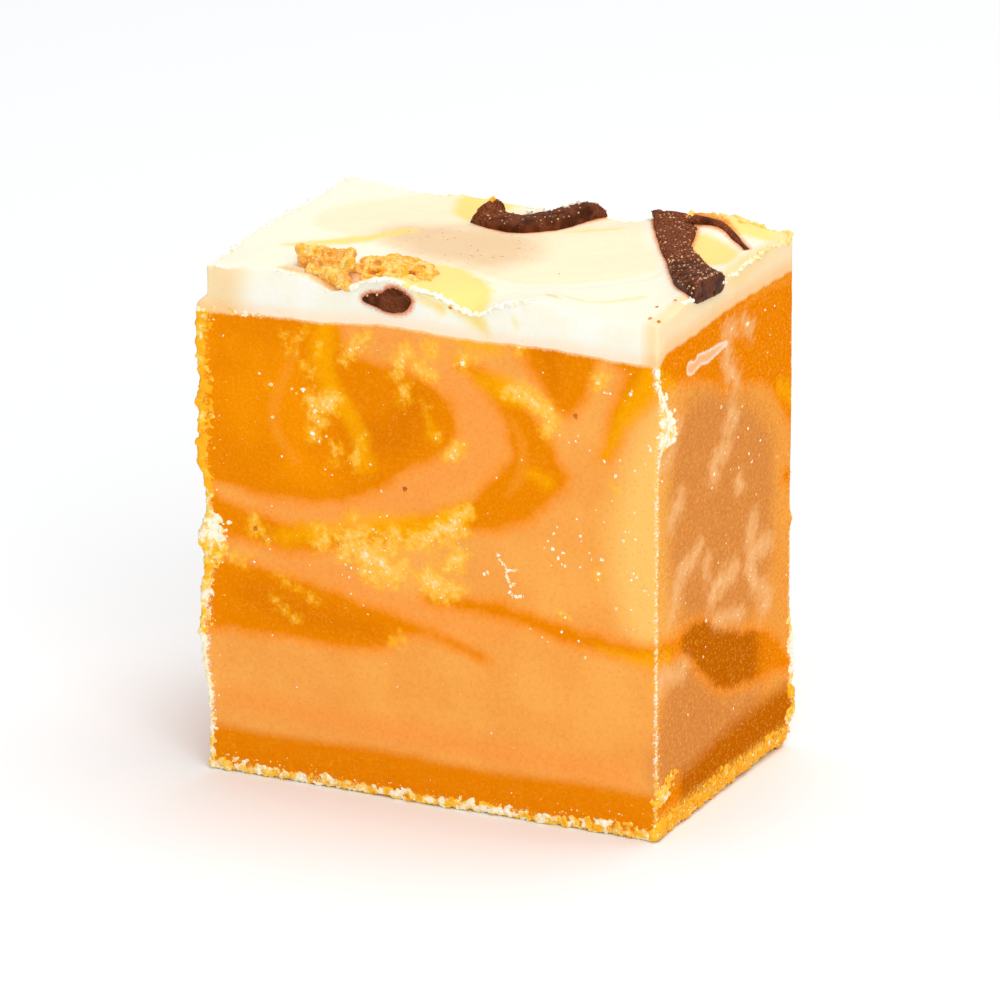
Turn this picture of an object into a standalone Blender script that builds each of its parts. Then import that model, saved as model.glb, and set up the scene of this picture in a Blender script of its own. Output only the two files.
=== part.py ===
"""A cut block of layered caramel fudge under a thick white layer with chocolate drizzle.

The shapes are worked out in millimetres, and each mesh is scaled to metres as it is finished.
The origin is under the middle of the block, on the surface that it stands on.
+X runs along the cut front to the right, +Y from the front to the back, +Z is up.
"""

import math

import bmesh
import bpy
from mathutils import Matrix, Vector, noise

MM = 0.001  # metres in a millimetre
GAP = 0.3  # left between neighbouring pieces

# The cut block
WIDTH = 40.0
DEPTH = 25.5
HALF_WIDTH = WIDTH / 2
HALF_DEPTH = DEPTH / 2
UPRIGHT_RADIUS = 0.7  # at the four upright edges
FOOT_RADIUS_FRONT = 0.9  # where the sides turn under, at the front and left
FOOT_RADIUS_BACK = 1.7  # the same at the back right corner, which is worn rounder

# The layers
BASE_FRONT = 3.8  # top of the toffee base along the front
BASE_RISE = 2.1  # how much thicker the base grows towards the back
BASE_RISE_LENGTH = 8.5  # the depth over which most of that rise happens
WHITE_FROM = 40.0  # underside of the white layer
WHITE_RISE = 0.9  # how far that underside climbs behind the right front edge
WHITE_TOP = 43.2  # top of the white layer, away from its swells and hollows

# The cut sides aren't flat: slow waves, and lips that the knife tore out of the upright edges
SIDE_WAVE = 0.16
SIDE_WAVE_LENGTH = 7.0
LIP_WIDTH = 2.4  # how far from its edge a lip starts
LIP_RUN_OUT = 2.0  # the height over which a lip fades at its ends
LIP_WAVE_LENGTH = 2.2
LIP_SHARE_Y = 0.5  # a lip leans out mostly along X
TORN_EDGES = (
    # side in X, side in Y, lowest, highest, reach
    (-1, -1, 6.5, 40.6, 1.25),
    (1, -1, 31.5, 39.0, 0.75),
    (1, 1, 5.5, 23.0, 0.80),
    (-1, 1, 5.0, 33.0, 0.75),
)

# Swells and hollows of the white top: X, Y, spread in X, spread in Y, height
TOP_SWELLS = (
    (-20.0, -12.7, 2.6, 6.0, -0.4),
    (-8.4, -13.2, 1.6, 1.8, -1.0),
    (-3.6, -12.9, 2.2, 2.4, 0.75),
    (3.7, -13.2, 2.0, 2.2, -1.25),
    (9.8, -12.2, 3.4, 3.6, 0.8),
    (20.0, -6.0, 2.4, 4.2, 0.65),
    (20.0, 6.0, 2.4, 5.0, 0.6),
    (13.8, 13.6, 5.2, 2.2, 1.5),
    (-13.0, 9.0, 7.0, 7.0, -0.6),
    (-2.5, 12.7, 2.6, 3.0, -0.5),
    (5.2, 13.0, 2.2, 3.0, -0.5),
)

# Meshing: cells along the front, cells along a side, and so on
COLUMNS = 24
ROWS = 16
RIBBON_SIDES = 12
LUMP_DETAIL = 2
BASE_RINGS = 5
BODY_RINGS = 14
WHITE_RINGS = 3
SHARP_FROM = math.radians(40)

# Chocolate drizzle on the top: a lens-shaped ribbon along a curve, sunk into the white
# Each knot is X, Y and the ribbon's width there. The block's faces cut what runs past them.
CRESCENT = (
    (-5.8, 8.6, 3.0),
    (-3.7, 6.5, 2.4),
    (-1.3, 6.3, 2.5),
    (0.6, 8.0, 2.9),
    (1.5, 10.5, 2.5),
    (2.1, 14.0, 1.9),
)
BAND = (
    (8.4, 15.0, 4.4),
    (11.0, 9.6, 3.1),
    (12.7, 6.0, 2.4),
    (15.1, 2.6, 3.1),
    (17.8, -0.7, 4.1),
    (22.6, -5.9, 4.9),
)
DRIZZLE_STEPS = 20
DRIZZLE_RISE = 0.85  # how far the ribbon stands above the white
DRIZZLE_SINK = 1.1  # how far it lies below it

# The drizzle that the front cut goes through: a short lens lying in the white layer
CHIP_CENTRE = (-3.7, 42.15)
CHIP_WIDTH = 4.9
CHIP_HEIGHT = 2.1
CHIP_LENGTH = 1.9  # how far it reaches in from the front
CHIP_PAST_FRONT = 1.0  # what the front cut takes off
CHIP_BLUNTNESS = 0.3  # size of its inner end, as a share of the whole
CHIP_TILT = 0.12  # fall per millimetre towards the right
CHIP_STEPS = 6

# Honeycomb toffee on the top, at the front: centre, size in X, Y and Z, and turn about Z
NUGGET = ((-10.9, -10.7, 43.75), (5.3, 3.1, 2.7), math.radians(-14))
CRUMBLE = ((-5.5, -8.5, 43.55), (5.2, 3.7, 1.5), math.radians(-20))
NUGGET_ROUGHNESS = 0.42
CRUMBLE_ROUGHNESS = 0.34
KNOB_FREQUENCY = 1.7
KNOB_FALL = 0.6
KNOB_STEP = 2.0
KNOB_OCTAVES = 3

# Colours and roughness of the pieces
CARAMEL = ((0.92, 0.38, 0.07, 1.0), 0.42)
TOFFEE = ((0.72, 0.20, 0.01, 1.0), 0.38)
WHITE = ((0.95, 0.84, 0.62, 1.0), 0.45)
CHOCOLATE = ((0.07, 0.02, 0.009, 1.0), 0.35)
HONEYCOMB = ((0.92, 0.42, 0.08, 1.0), 0.60)


def clear_scene():
    for obj in list(bpy.data.objects):
        bpy.data.objects.remove(obj)


def food_material(name, finish):
    """A Principled material with the piece's colour and roughness."""
    colour, roughness = finish
    material = bpy.data.materials.new(name)
    material.use_nodes = True
    shader = material.node_tree.nodes["Principled BSDF"]
    shader.inputs["Base Color"].default_value = colour
    shader.inputs["Roughness"].default_value = roughness
    shader.inputs["Metallic"].default_value = 0.0
    return material


def finish_object(name, bm, material=None):
    """Scales the mesh to metres and makes an object of it."""
    bmesh.ops.recalc_face_normals(bm, faces=bm.faces)
    bmesh.ops.scale(bm, vec=(MM, MM, MM), verts=bm.verts)
    mesh = bpy.data.meshes.new(name)
    bm.to_mesh(mesh)
    bm.free()
    mesh.shade_smooth()
    mesh.set_sharp_from_angle(angle=SHARP_FROM)
    obj = bpy.data.objects.new(name, mesh)
    bpy.context.scene.collection.objects.link(obj)
    if material:
        mesh.materials.append(material)
    return obj


def cutter(name, bm):
    obj = finish_object(name, bm)
    obj.hide_render = True
    obj.display_type = "WIRE"
    return obj


def combine(obj, other, operation):
    modifier = obj.modifiers.new(other.name, "BOOLEAN")
    modifier.operation = operation
    modifier.object = other


def ramp(value):
    """0 below 0, 1 above 1, and an S-shaped climb between them."""
    value = min(max(value, 0.0), 1.0)
    return value * value * (3.0 - 2.0 * value)


def base_line(x, y):
    """Height of the toffee base's top, which grows thicker towards the back."""
    climb = 1.0 - math.exp(-(y + HALF_DEPTH) / BASE_RISE_LENGTH)
    return BASE_FRONT + BASE_RISE * climb + 0.12 * math.sin(x / 3.1 + y / 4.0)


def white_line(x, y):
    """Height of the white layer's underside: lower at the left, higher behind the right front edge."""
    left_dip = 0.6 * (1.0 - ramp((x + HALF_WIDTH) / 8.0))
    right_climb = WHITE_RISE * ramp((y + HALF_DEPTH) / 2.0) * ramp((x + 4.0) / 20.0)
    return WHITE_FROM - left_dip + right_climb + 0.1 * math.sin(x / 2.3 - y / 3.7)


def top_line(x, y):
    """Height of the white layer's top."""
    swells = sum(
        height * math.exp(-(((x - at_x) / wide) ** 2) - ((y - at_y) / deep) ** 2)
        for at_x, at_y, wide, deep, height in TOP_SWELLS
    )
    return WHITE_TOP + swells


def foot_inset(x, y, z):
    """How far the side draws in just above the surface that the block stands on."""
    worn = ramp((x + y) / (HALF_WIDTH + HALF_DEPTH))
    radius = FOOT_RADIUS_FRONT + (FOOT_RADIUS_BACK - FOOT_RADIUS_FRONT) * worn
    if z >= radius:
        return 0.0
    return radius - math.sqrt(radius**2 - (radius - z) ** 2)


def side_point(x, y, z):
    """Moves a point on the outline to where the uneven cut side runs at height z."""
    inner_x, inner_y = HALF_WIDTH - UPRIGHT_RADIUS, HALF_DEPTH - UPRIGHT_RADIUS
    core = Vector((min(max(x, -inner_x), inner_x), min(max(y, -inner_y), inner_y)))
    outward = (Vector((x, y)) - core).normalized()
    wave = noise.noise(Vector((x, y, z)) / SIDE_WAVE_LENGTH) * SIDE_WAVE
    point = core + outward * (UPRIGHT_RADIUS + wave - foot_inset(x, y, z))
    for side_x, side_y, lowest, highest, reach in TORN_EDGES:
        corner = Vector((side_x * HALF_WIDTH, side_y * HALF_DEPTH))
        near = math.exp(-(((Vector((x, y)) - corner).length / LIP_WIDTH) ** 2))
        along = ramp((z - lowest) / LIP_RUN_OUT) * ramp((highest - z) / LIP_RUN_OUT)
        tatter = 0.75 + 0.5 * noise.noise(Vector((side_x, side_y, z / LIP_WAVE_LENGTH)))
        point += Vector((side_x, side_y * LIP_SHARE_Y)) * reach * near * along * tatter
    return point


def layer(bottom, top, rings):
    """A closed layer of the block between two height functions, with uneven cut sides."""
    bm = bmesh.new()

    def plan(column, row):
        x = (2 * column / COLUMNS - 1) * HALF_WIDTH
        y = (2 * row / ROWS - 1) * HALF_DEPTH
        return x, y

    border = [(i, 0) for i in range(COLUMNS)]
    border += [(COLUMNS, j) for j in range(ROWS)]
    border += [(i, ROWS) for i in range(COLUMNS, 0, -1)]
    border += [(0, j) for j in range(ROWS, 0, -1)]

    stack = []
    for ring in range(rings + 1):
        share = ring / rings
        points = {}
        for cell in border:
            x, y = plan(*cell)
            z = bottom(x, y) * (1 - share) + top(x, y) * share
            side_x, side_y = side_point(x, y, z)
            points[cell] = bm.verts.new((side_x, side_y, z))
        stack.append(points)
    following = border[1:] + border[:1]
    for below, above in zip(stack, stack[1:]):
        for one, two in zip(border, following):
            bm.faces.new((below[one], below[two], above[two], above[one]))

    for points, height in ((stack[0], bottom), (stack[-1], top)):
        for column in range(1, COLUMNS):
            for row in range(1, ROWS):
                x, y = plan(column, row)
                points[column, row] = bm.verts.new((x, y, height(x, y)))
        for column in range(COLUMNS):
            for row in range(ROWS):
                corners = ((0, 0), (1, 0), (1, 1), (0, 1))
                bm.faces.new([points[column + i, row + j] for i, j in corners])
    return bm


def curve_value(before, start, end, after, t):
    """A smooth value between start at t = 0 and end at t = 1, which allows for their neighbours."""
    slope = (end - before) / 2
    end_slope = (after - start) / 2
    rise = end - start
    bend = 3 * rise - 2 * slope - end_slope
    twist = slope + end_slope - 2 * rise
    return start + slope * t + bend * t**2 + twist * t**3


def curve_through(points, steps):
    """Points on a smooth curve through the given ones, each a tuple of the same length."""
    ends = [points[0], *points, points[-1]]
    curve = []
    for step in range(steps + 1):
        place = step / steps * (len(points) - 1)
        first = min(int(place), len(points) - 2)
        t = place - first
        a, b, c, d = ends[first : first + 4]
        curve.append(tuple(curve_value(*values, t) for values in zip(a, b, c, d)))
    return curve


def lens(width, rise, sink, extra):
    """Points round a lens-shaped section: across, and up from its waist."""
    section = []
    for side in range(RIBBON_SIDES):
        angle = math.tau * side / RIBBON_SIDES
        up = math.sin(angle)
        height = (rise if up > 0 else sink) + extra
        section.append((math.cos(angle) * (width / 2 + extra), up * height))
    return section


def skin_rings(rings):
    """A closed mesh over a row of rings of points, with a flat cap at each end."""
    bm = bmesh.new()
    rows = [[bm.verts.new(point) for point in ring] for ring in rings]
    for one, two in zip(rows, rows[1:]):
        for side in range(len(one)):
            after = (side + 1) % len(one)
            bm.faces.new((one[side], one[after], two[after], two[side]))
    bm.faces.new(rows[0][::-1])
    bm.faces.new(rows[-1])
    return bm


def drizzle(knots, extra=0.0):
    """A ribbon of chocolate that follows a curve over the white top, grown all round by extra."""
    curve = curve_through(knots, DRIZZLE_STEPS)
    rings = []
    for index, (x, y, width) in enumerate(curve):
        before = Vector(curve[max(index - 1, 0)][:2])
        after = Vector(curve[min(index + 1, DRIZZLE_STEPS)][:2])
        along = (after - before).normalized()
        across = Vector((along.y, -along.x))
        waist = top_line(min(x, HALF_WIDTH), min(y, HALF_DEPTH))
        section = lens(width, DRIZZLE_RISE, DRIZZLE_SINK, extra)
        rings.append([(x + across.x * u, y + across.y * u, waist + v) for u, v in section])
    return skin_rings(rings)


def crescent(extra=0.0):
    """The round stroke of drizzle that the back cut goes through."""
    return drizzle(CRESCENT, extra)


def band(extra=0.0):
    """The stroke of drizzle from the back edge to the right side, where the cut shows its section."""
    return drizzle(BAND, extra)


def chip(extra=0.0):
    """The cut end of a stroke that lies in the white layer, tapering away from the front."""
    centre_x, centre_z = CHIP_CENTRE
    start = -HALF_DEPTH - CHIP_PAST_FRONT
    length = CHIP_PAST_FRONT + CHIP_LENGTH + extra
    rings = []
    for step in range(CHIP_STEPS + 1):
        share = step / CHIP_STEPS
        taper = math.sqrt(max(1.0 - share**2, CHIP_BLUNTNESS**2))
        half_height = CHIP_HEIGHT / 2 * taper
        section = lens(CHIP_WIDTH * taper, half_height, half_height, extra)
        y = start + length * share
        rings.append([(centre_x + u, y, centre_z + v - CHIP_TILT * u) for u, v in section])
    return skin_rings(rings)


def lump(spec, roughness, extra=0.0):
    """A broken, knobbly piece of honeycomb toffee."""
    centre, size, turn = spec
    bm = bmesh.new()
    bmesh.ops.create_icosphere(bm, subdivisions=LUMP_DETAIL, radius=1.0)
    for vert in bm.verts:
        unit = vert.co.normalized()
        place = unit * KNOB_FREQUENCY + Vector(centre)
        knobs = 1.0 + roughness * noise.fractal(place, KNOB_FALL, KNOB_STEP, KNOB_OCTAVES)
        vert.co = Vector([u * (side / 2 * knobs + extra) for u, side in zip(unit, size)])
    bmesh.ops.rotate(bm, matrix=Matrix.Rotation(turn, 3, "Z"), verts=bm.verts)
    bmesh.ops.translate(bm, vec=centre, verts=bm.verts)
    return bm


def block_cutter():
    """The box that the knife cut out, which trims the drizzle at the block's faces."""
    bm = bmesh.new()
    bmesh.ops.create_cube(bm, size=1.0)
    bmesh.ops.scale(bm, vec=(WIDTH, DEPTH, 4 * WHITE_TOP), verts=bm.verts)
    return cutter("cut_block", bm)


def make_caramels():
    def flat_foot(x, y):
        return 0.0

    def base_top(x, y):
        return base_line(x, y) - GAP / 2

    def body_bottom(x, y):
        return base_line(x, y) + GAP / 2

    def body_top(x, y):
        return white_line(x, y) - GAP / 2

    toffee = food_material("toffee", TOFFEE)
    caramel = food_material("caramel", CARAMEL)
    finish_object("toffee_base", layer(flat_foot, base_top, BASE_RINGS), toffee)
    finish_object("caramel_body", layer(body_bottom, body_top, BODY_RINGS), caramel)


def make_white_layer():
    def white_bottom(x, y):
        return white_line(x, y) + GAP / 2

    white = food_material("white_fudge", WHITE)
    return finish_object("white_layer", layer(white_bottom, top_line, WHITE_RINGS), white)


def make_chocolates(white_layer):
    chocolate = food_material("chocolate", CHOCOLATE)
    block = block_cutter()
    strokes = {"chocolate_back": crescent, "chocolate_right": band, "chocolate_front": chip}
    for name, shape in strokes.items():
        stroke = finish_object(name, shape(), chocolate)
        combine(stroke, block, "INTERSECT")
        combine(white_layer, cutter(name + "_recess", shape(GAP)), "DIFFERENCE")


def make_honeycomb(white_layer):
    honeycomb = food_material("honeycomb", HONEYCOMB)
    pieces = {
        "honeycomb_nugget": (NUGGET, NUGGET_ROUGHNESS),
        "honeycomb_crumble": (CRUMBLE, CRUMBLE_ROUGHNESS),
    }
    for name, (spec, roughness) in pieces.items():
        finish_object(name, lump(spec, roughness), honeycomb)
        recess = cutter(name + "_recess", lump(spec, roughness, GAP))
        combine(white_layer, recess, "DIFFERENCE")


def main():
    clear_scene()
    make_caramels()
    white_layer = make_white_layer()
    make_chocolates(white_layer)
    make_honeycomb(white_layer)


main()
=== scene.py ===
# %% [markdown]
# # Dressing a block of caramel fudge
# A plain solid model gives us the block's size and the place of each layer. This lesson puts the real
# surface round it: marbled caramel with sugar crystals, a cream layer, drizzled chocolate and crumbs.
# We open the solid model first, because every size below is measured on it.

# %% Open the plain model
import math
import random

import bmesh
import bpy
import numpy as np
from mathutils import Matrix, Vector, noise


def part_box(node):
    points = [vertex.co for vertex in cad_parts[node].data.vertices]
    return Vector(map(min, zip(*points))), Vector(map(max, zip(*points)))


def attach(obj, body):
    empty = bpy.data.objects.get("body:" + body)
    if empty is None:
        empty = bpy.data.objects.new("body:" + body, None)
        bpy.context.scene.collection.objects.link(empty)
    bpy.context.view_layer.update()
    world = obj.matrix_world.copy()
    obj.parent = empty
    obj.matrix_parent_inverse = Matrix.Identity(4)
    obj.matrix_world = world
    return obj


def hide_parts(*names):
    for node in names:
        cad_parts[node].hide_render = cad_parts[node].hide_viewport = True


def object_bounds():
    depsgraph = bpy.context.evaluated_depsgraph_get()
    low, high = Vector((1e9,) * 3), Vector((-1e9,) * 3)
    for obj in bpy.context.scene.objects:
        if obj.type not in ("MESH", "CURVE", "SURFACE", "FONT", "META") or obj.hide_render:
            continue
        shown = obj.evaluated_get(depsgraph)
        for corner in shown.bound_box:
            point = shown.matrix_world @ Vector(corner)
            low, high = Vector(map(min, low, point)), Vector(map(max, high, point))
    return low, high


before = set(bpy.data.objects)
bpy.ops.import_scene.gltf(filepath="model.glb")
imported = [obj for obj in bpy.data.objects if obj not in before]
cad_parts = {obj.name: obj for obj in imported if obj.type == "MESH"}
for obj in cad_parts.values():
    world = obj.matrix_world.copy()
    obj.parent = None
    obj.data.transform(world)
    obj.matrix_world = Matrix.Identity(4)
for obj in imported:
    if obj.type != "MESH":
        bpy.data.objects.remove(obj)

cad_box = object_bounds()
MM = 0.001  # metres in a millimetre: shapes are drawn in millimetres and scaled at the end
low, high = [np.array(corner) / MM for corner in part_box("toffee_base")]
print("foot of the block, in mm:", np.round(high - low, 1))

# %% [markdown]
# The knife leaves waves of a few tenths of a millimetre on the cut sides, so the measured box is a
# little larger than the cut. Rounding to the nearest half millimetre gives the size that was cut.
# The heights of the layers are the solid model's own formulas, written again for whole arrays.

# %% The size of the cut and the lines between the layers
WIDTH, DEPTH = np.round((high - low)[:2] * 2 - 0.3) / 2
HALF_WIDTH, HALF_DEPTH = WIDTH / 2, DEPTH / 2
ROUND_TRIP = 2 * (WIDTH + DEPTH)
BASE_FRONT, BASE_RISE, BASE_RISE_LENGTH = 3.8, 2.1, 8.5
WHITE_FROM, WHITE_RISE, WHITE_TOP = 40.0, 0.9, 43.2


def ramp(value):
    """0 below 0, 1 above 1, and an S-shaped climb between them."""
    value = np.clip(value, 0.0, 1.0)
    return value * value * (3.0 - 2.0 * value)


def bell(distance, width):
    return np.exp(-((distance / width) ** 2))


def base_line(x, y):
    """Height of the toffee base's top."""
    climb = 1.0 - np.exp(-(y + HALF_DEPTH) / BASE_RISE_LENGTH)
    return BASE_FRONT + BASE_RISE * climb + 0.12 * np.sin(x / 3.1 + y / 4.0)


def white_line(x, y):
    """Height of the white layer's underside."""
    left_dip = 0.6 * (1.0 - ramp((x + HALF_WIDTH) / 8.0)) + 0.45 * ramp((-2.0 - x) / 8.0)
    right_climb = WHITE_RISE * ramp((y + HALF_DEPTH) / 2.0) * ramp((x + 4.0) / 20.0)
    waves = 0.1 * np.sin(x / 2.3 - y / 3.7) + 0.05 * np.sin(x / 0.41 + y / 0.37) * np.sin(x / 1.3 + 2.0)
    return WHITE_FROM - left_dip + right_climb + waves


print("cut to", WIDTH, "x", DEPTH, "mm; white layer from", white_line(0.0, 0.0).round(1), "mm up")

# %% [markdown]
# Nothing on fudge is quite even, so nearly every surface below needs a smooth random wobble. Blender's
# own noise works on one point at a time. For meshes of many thousand points we write a small
# one that takes a whole array: random values on a lattice, blended between the lattice's corners.

# %% A wobble for whole arrays of points
def lattice_value(cell, seed):
    mixed = cell[0] * 374761393 + cell[1] * 668265263 + cell[2] * 1274126177 + seed * 97531
    mixed = (mixed ^ (mixed >> 13)) * 1103515245
    mixed = mixed ^ (mixed >> 16)
    return (mixed & 0xFFFF) / 32767.5 - 1.0


def wobble(x, y, z, size, seed=0):
    """Smooth noise from -1 to 1 with lumps about size millimetres across."""
    place = np.stack(np.broadcast_arrays(x, y, z)).astype(float) / size + 1000.0
    cell = np.floor(place).astype(np.int64)
    share = place - cell
    share = share**3 * (share * (share * 6 - 15) + 10)
    total = np.zeros(place.shape[1:])
    for corner in np.ndindex(2, 2, 2):
        step = np.array(corner).reshape((3,) + (1,) * (place.ndim - 1))
        weight = np.where(step == 1, share, 1 - share).prod(axis=0)
        total += weight * lattice_value(cell + step, seed)
    return total


def rough(x, y, z, size, seed=0, octaves=3, fall=0.5):
    """Several wobbles on top of each other, each half the size of the one before."""
    layers = [wobble(x, y, z, size / 2**i, seed + i) * fall**i for i in range(octaves)]
    return sum(layers) / sum(fall**i for i in range(octaves))


print("wobble at the middle:", wobble(0.0, 0.0, 20.0, 5.0).round(2))

# %% [markdown]
# ## Camera, light and floor
# Food like this is shot on white, with large soft lights. A pale floor and a bright surround do
# most of the work: the light comes from everywhere, and only a soft contact shadow is left. One
# large lamp at the front left makes the cut front brighter than the side; the caramel's colours on the
# sides are also painted darker, as painted shade. The camera stands far off with
# a long lens, so the block's upright edges stay nearly parallel.

# %% Camera
TARGET = Vector((0.0, 0.0, 22.0)) * MM
AZIMUTH, ELEVATION, DISTANCE = math.radians(25.8), math.radians(18.82), 1022.7 * MM

camera = bpy.data.objects.new("camera", bpy.data.cameras.new("camera"))
bpy.context.scene.collection.objects.link(camera)
away = Vector((math.sin(AZIMUTH), -math.cos(AZIMUTH), 0.0)) * math.cos(ELEVATION)
camera.location = TARGET + (away + Vector((0.0, 0.0, math.sin(ELEVATION)))) * DISTANCE
camera.rotation_euler = (TARGET - camera.location).to_track_quat("-Z", "Y").to_euler()
camera.data.lens = 456.0
camera.data.sensor_width = 36.0
camera.data.clip_end = 10.0
bpy.context.scene.camera = camera
bpy.context.scene.view_settings.view_transform = "Standard"
print("camera at", [round(c, 3) for c in camera.location])


# %% Lamps and surround
def soft_lamp(name, azimuth, elevation, distance, size, power):
    """A large square lamp that looks at the block."""
    lamp = bpy.data.lights.new(name, "AREA")
    lamp.shape = "SQUARE"
    lamp.size = size
    lamp.energy = power
    turn, lift = math.radians(azimuth), math.radians(elevation)
    way = Vector((math.sin(turn) * math.cos(lift), -math.cos(turn) * math.cos(lift), math.sin(lift)))
    obj = bpy.data.objects.new(name, lamp)
    obj.location = TARGET + way * distance
    obj.rotation_euler = (-way).to_track_quat("-Z", "Y").to_euler()
    bpy.context.scene.collection.objects.link(obj)


world = bpy.data.worlds.new("surround")
bpy.context.scene.world = world
world.use_nodes = True
surround = world.node_tree.nodes["Background"]
surround.inputs["Color"].default_value = (1.0, 1.0, 1.0, 1.0)
surround.inputs["Strength"].default_value = 0.46
soft_lamp("front_lamp", azimuth=37, elevation=35, distance=0.9, size=0.6, power=3.9)
soft_lamp("top_lamp", azimuth=150, elevation=77, distance=0.8, size=0.6, power=3.8)

floor_mesh = bpy.data.meshes.new("floor")
REACH = 6.0
corners = [(-REACH, -REACH, 0), (REACH, -REACH, 0), (REACH, REACH, 0), (-REACH, REACH, 0)]
floor_mesh.from_pydata(corners, [], [(0, 1, 2, 3)])
floor = bpy.data.objects.new("floor", floor_mesh)
floor.location.z = -0.02 * MM
bpy.context.scene.collection.objects.link(floor)
floor_paint = bpy.data.materials.new("white_card")
floor_paint.use_nodes = True
card = floor_paint.node_tree.nodes["Principled BSDF"]
card.inputs["Base Color"].default_value = (0.93, 0.945, 0.955, 1.0)
card.inputs["Roughness"].default_value = 0.6
card.inputs["Specular IOR Level"].default_value = 0.2
floor_mesh.materials.append(floor_paint)
print("lamps and floor are in place")

# %% [markdown]
# ## A map of the sides
# The marbling runs round the corners of the block, so we draw it on the four sides as if they were
# unrolled to one strip. The strip's first coordinate is the way walked round the foot, from the front
# left corner along the front, the right side, the back and the left side; the second is the height.

# %% Walk round the block
TURNS = np.cumsum([0.0, WIDTH, DEPTH, WIDTH, DEPTH])
CORNERS = [(-1, -1), (1, -1), (1, 1), (-1, 1), (-1, -1)]

UNROLL = {
    "front": lambda x: x + HALF_WIDTH,
    "right": lambda y: WIDTH + HALF_DEPTH + y,
    "back": lambda x: WIDTH + DEPTH + HALF_WIDTH - x,
    "left": lambda y: ROUND_TRIP - HALF_DEPTH - y,
}


def graded(length, fine, coarse, margin=2.0):
    """Places from 0 to length that stand closer together near both ends."""
    near = np.arange(0.0, margin, fine)
    steps = int(round((length - 2 * margin) / coarse))
    return np.concatenate([near, np.linspace(margin, length - margin, steps + 1), length - near[::-1]])


def outline(strip):
    """X and Y of places on the strip, before the knife's waves."""
    strip = np.asarray(strip, float) % ROUND_TRIP
    x = np.interp(strip, TURNS, [x * HALF_WIDTH for x, _ in CORNERS])
    y = np.interp(strip, TURNS, [y * HALF_DEPTH for _, y in CORNERS])
    return x, y


def walk_round(fine, coarse):
    along, across = graded(WIDTH, fine, coarse)[:-1], graded(DEPTH, fine, coarse)[:-1]
    return np.concatenate([start + side for start, side in zip(TURNS, [along, across] * 2)])


walk = walk_round(0.12, 0.29)
print(len(walk), "columns round the block")

# %% [markdown]
# A cut side isn't flat. The knife leaves slow waves, the fudge has a fine grain, and along the upright
# edges the blade tears out a ragged lip. `side_place` moves any point of the strip to where
# the uneven side really is. All layers use it, so they stay flush where they meet.

# %% The uneven cut sides
UPRIGHT_RADIUS = 0.25
FOOT_RADIUS_FRONT, FOOT_RADIUS_BACK = 0.4, 1.4
LIP_WIDTH, LIP_SHARE_Y = 1.0, 0.25
LIMIT_LOW, LIMIT_HIGH = np.array(cad_box) / MM + np.array([[0.04], [-0.04]])
LIPS = (
    # side in X, side in Y, and how far the lip stands out at each height
    (-1, -1, ((4.5, 0.0), (7.0, 0.15), (8.2, 0.35), (9.2, 0.6), (10.2, 0.85), (10.8, 0.7), (12.2, 0.85),
              (13.4, 0.6), (15.0, 0.75), (16.2, 0.45), (17.4, 0.3), (18.4, 0.35), (19.4, 0.75),
              (20.6, 0.4), (22.0, 0.05), (23.6, 0.1), (25.0, 0.35), (26.0, 0.7), (27.4, 0.95),
              (28.4, 0.65), (29.6, 0.6), (30.6, 0.65), (31.2, 1.1), (31.8, 0.65), (33.2, 0.45),
              (34.4, 0.8), (35.8, 0.8), (36.2, 1.2), (36.7, 0.75), (38.0, 0.8), (39.4, 1.0), (40.0, 0.5),
              (40.3, 0.0))),
    (1, -1, ((2.8, 0.0), (4.2, 0.25), (5.2, 0.0), (31.0, 0.0), (32.5, 0.1), (34.0, 0.3), (36.5, 0.3), (38.0, 0.1), (39.0, 0.0))),
    (1, 1, ((2.6, 0.0), (3.4, 0.5), (4.6, 0.45), (5.4, 0.15), (7.0, 0.3), (9.5, 0.2), (10.5, 0.1),
            (14.0, 0.05), (18.8, 0.1), (19.6, 0.3), (20.4, 0.05), (30.0, 0.05), (33.0, 0.0))),
    (-1, 1, ((4.0, 0.0), (7.0, 0.4), (12.0, 0.2), (18.0, 0.5), (24.0, 0.3), (30.0, 0.5), (34.0, 0.0))),
)


def torn(x, y, z):
    """How far the torn lips stand out at each point, in X and in Y."""
    out = np.zeros((2,) + np.broadcast(x, z).shape)
    for side_x, side_y, knots in LIPS:
        near = bell(np.hypot(x - side_x * HALF_WIDTH, y - side_y * HALF_DEPTH), LIP_WIDTH)
        reach = np.interp(z, *np.transpose(knots))
        tatter = 0.92 + 0.5 * rough(side_x * 5.0, side_y * 5.0, z, 0.9, seed=3)
        amount = np.where(near > 0.002, near * reach * tatter, 0.0)
        out += amount * np.array([side_x, side_y * LIP_SHARE_Y]).reshape((2,) + (1,) * np.ndim(amount))
    return out


def recess(x, y, z):
    """Where the white layer draws back a little from a piece of chocolate that is cut through."""
    right = (x > HALF_WIDTH - 0.5) * 0.25 * bell(y + 3.5, 3.2) * bell(z - 44.4, 1.1)
    front = (y < 0.5 - HALF_DEPTH) * 0.12 * bell(x + 3.7, 2.6) * bell(z - 42.2, 1.2)
    return right + front


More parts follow.
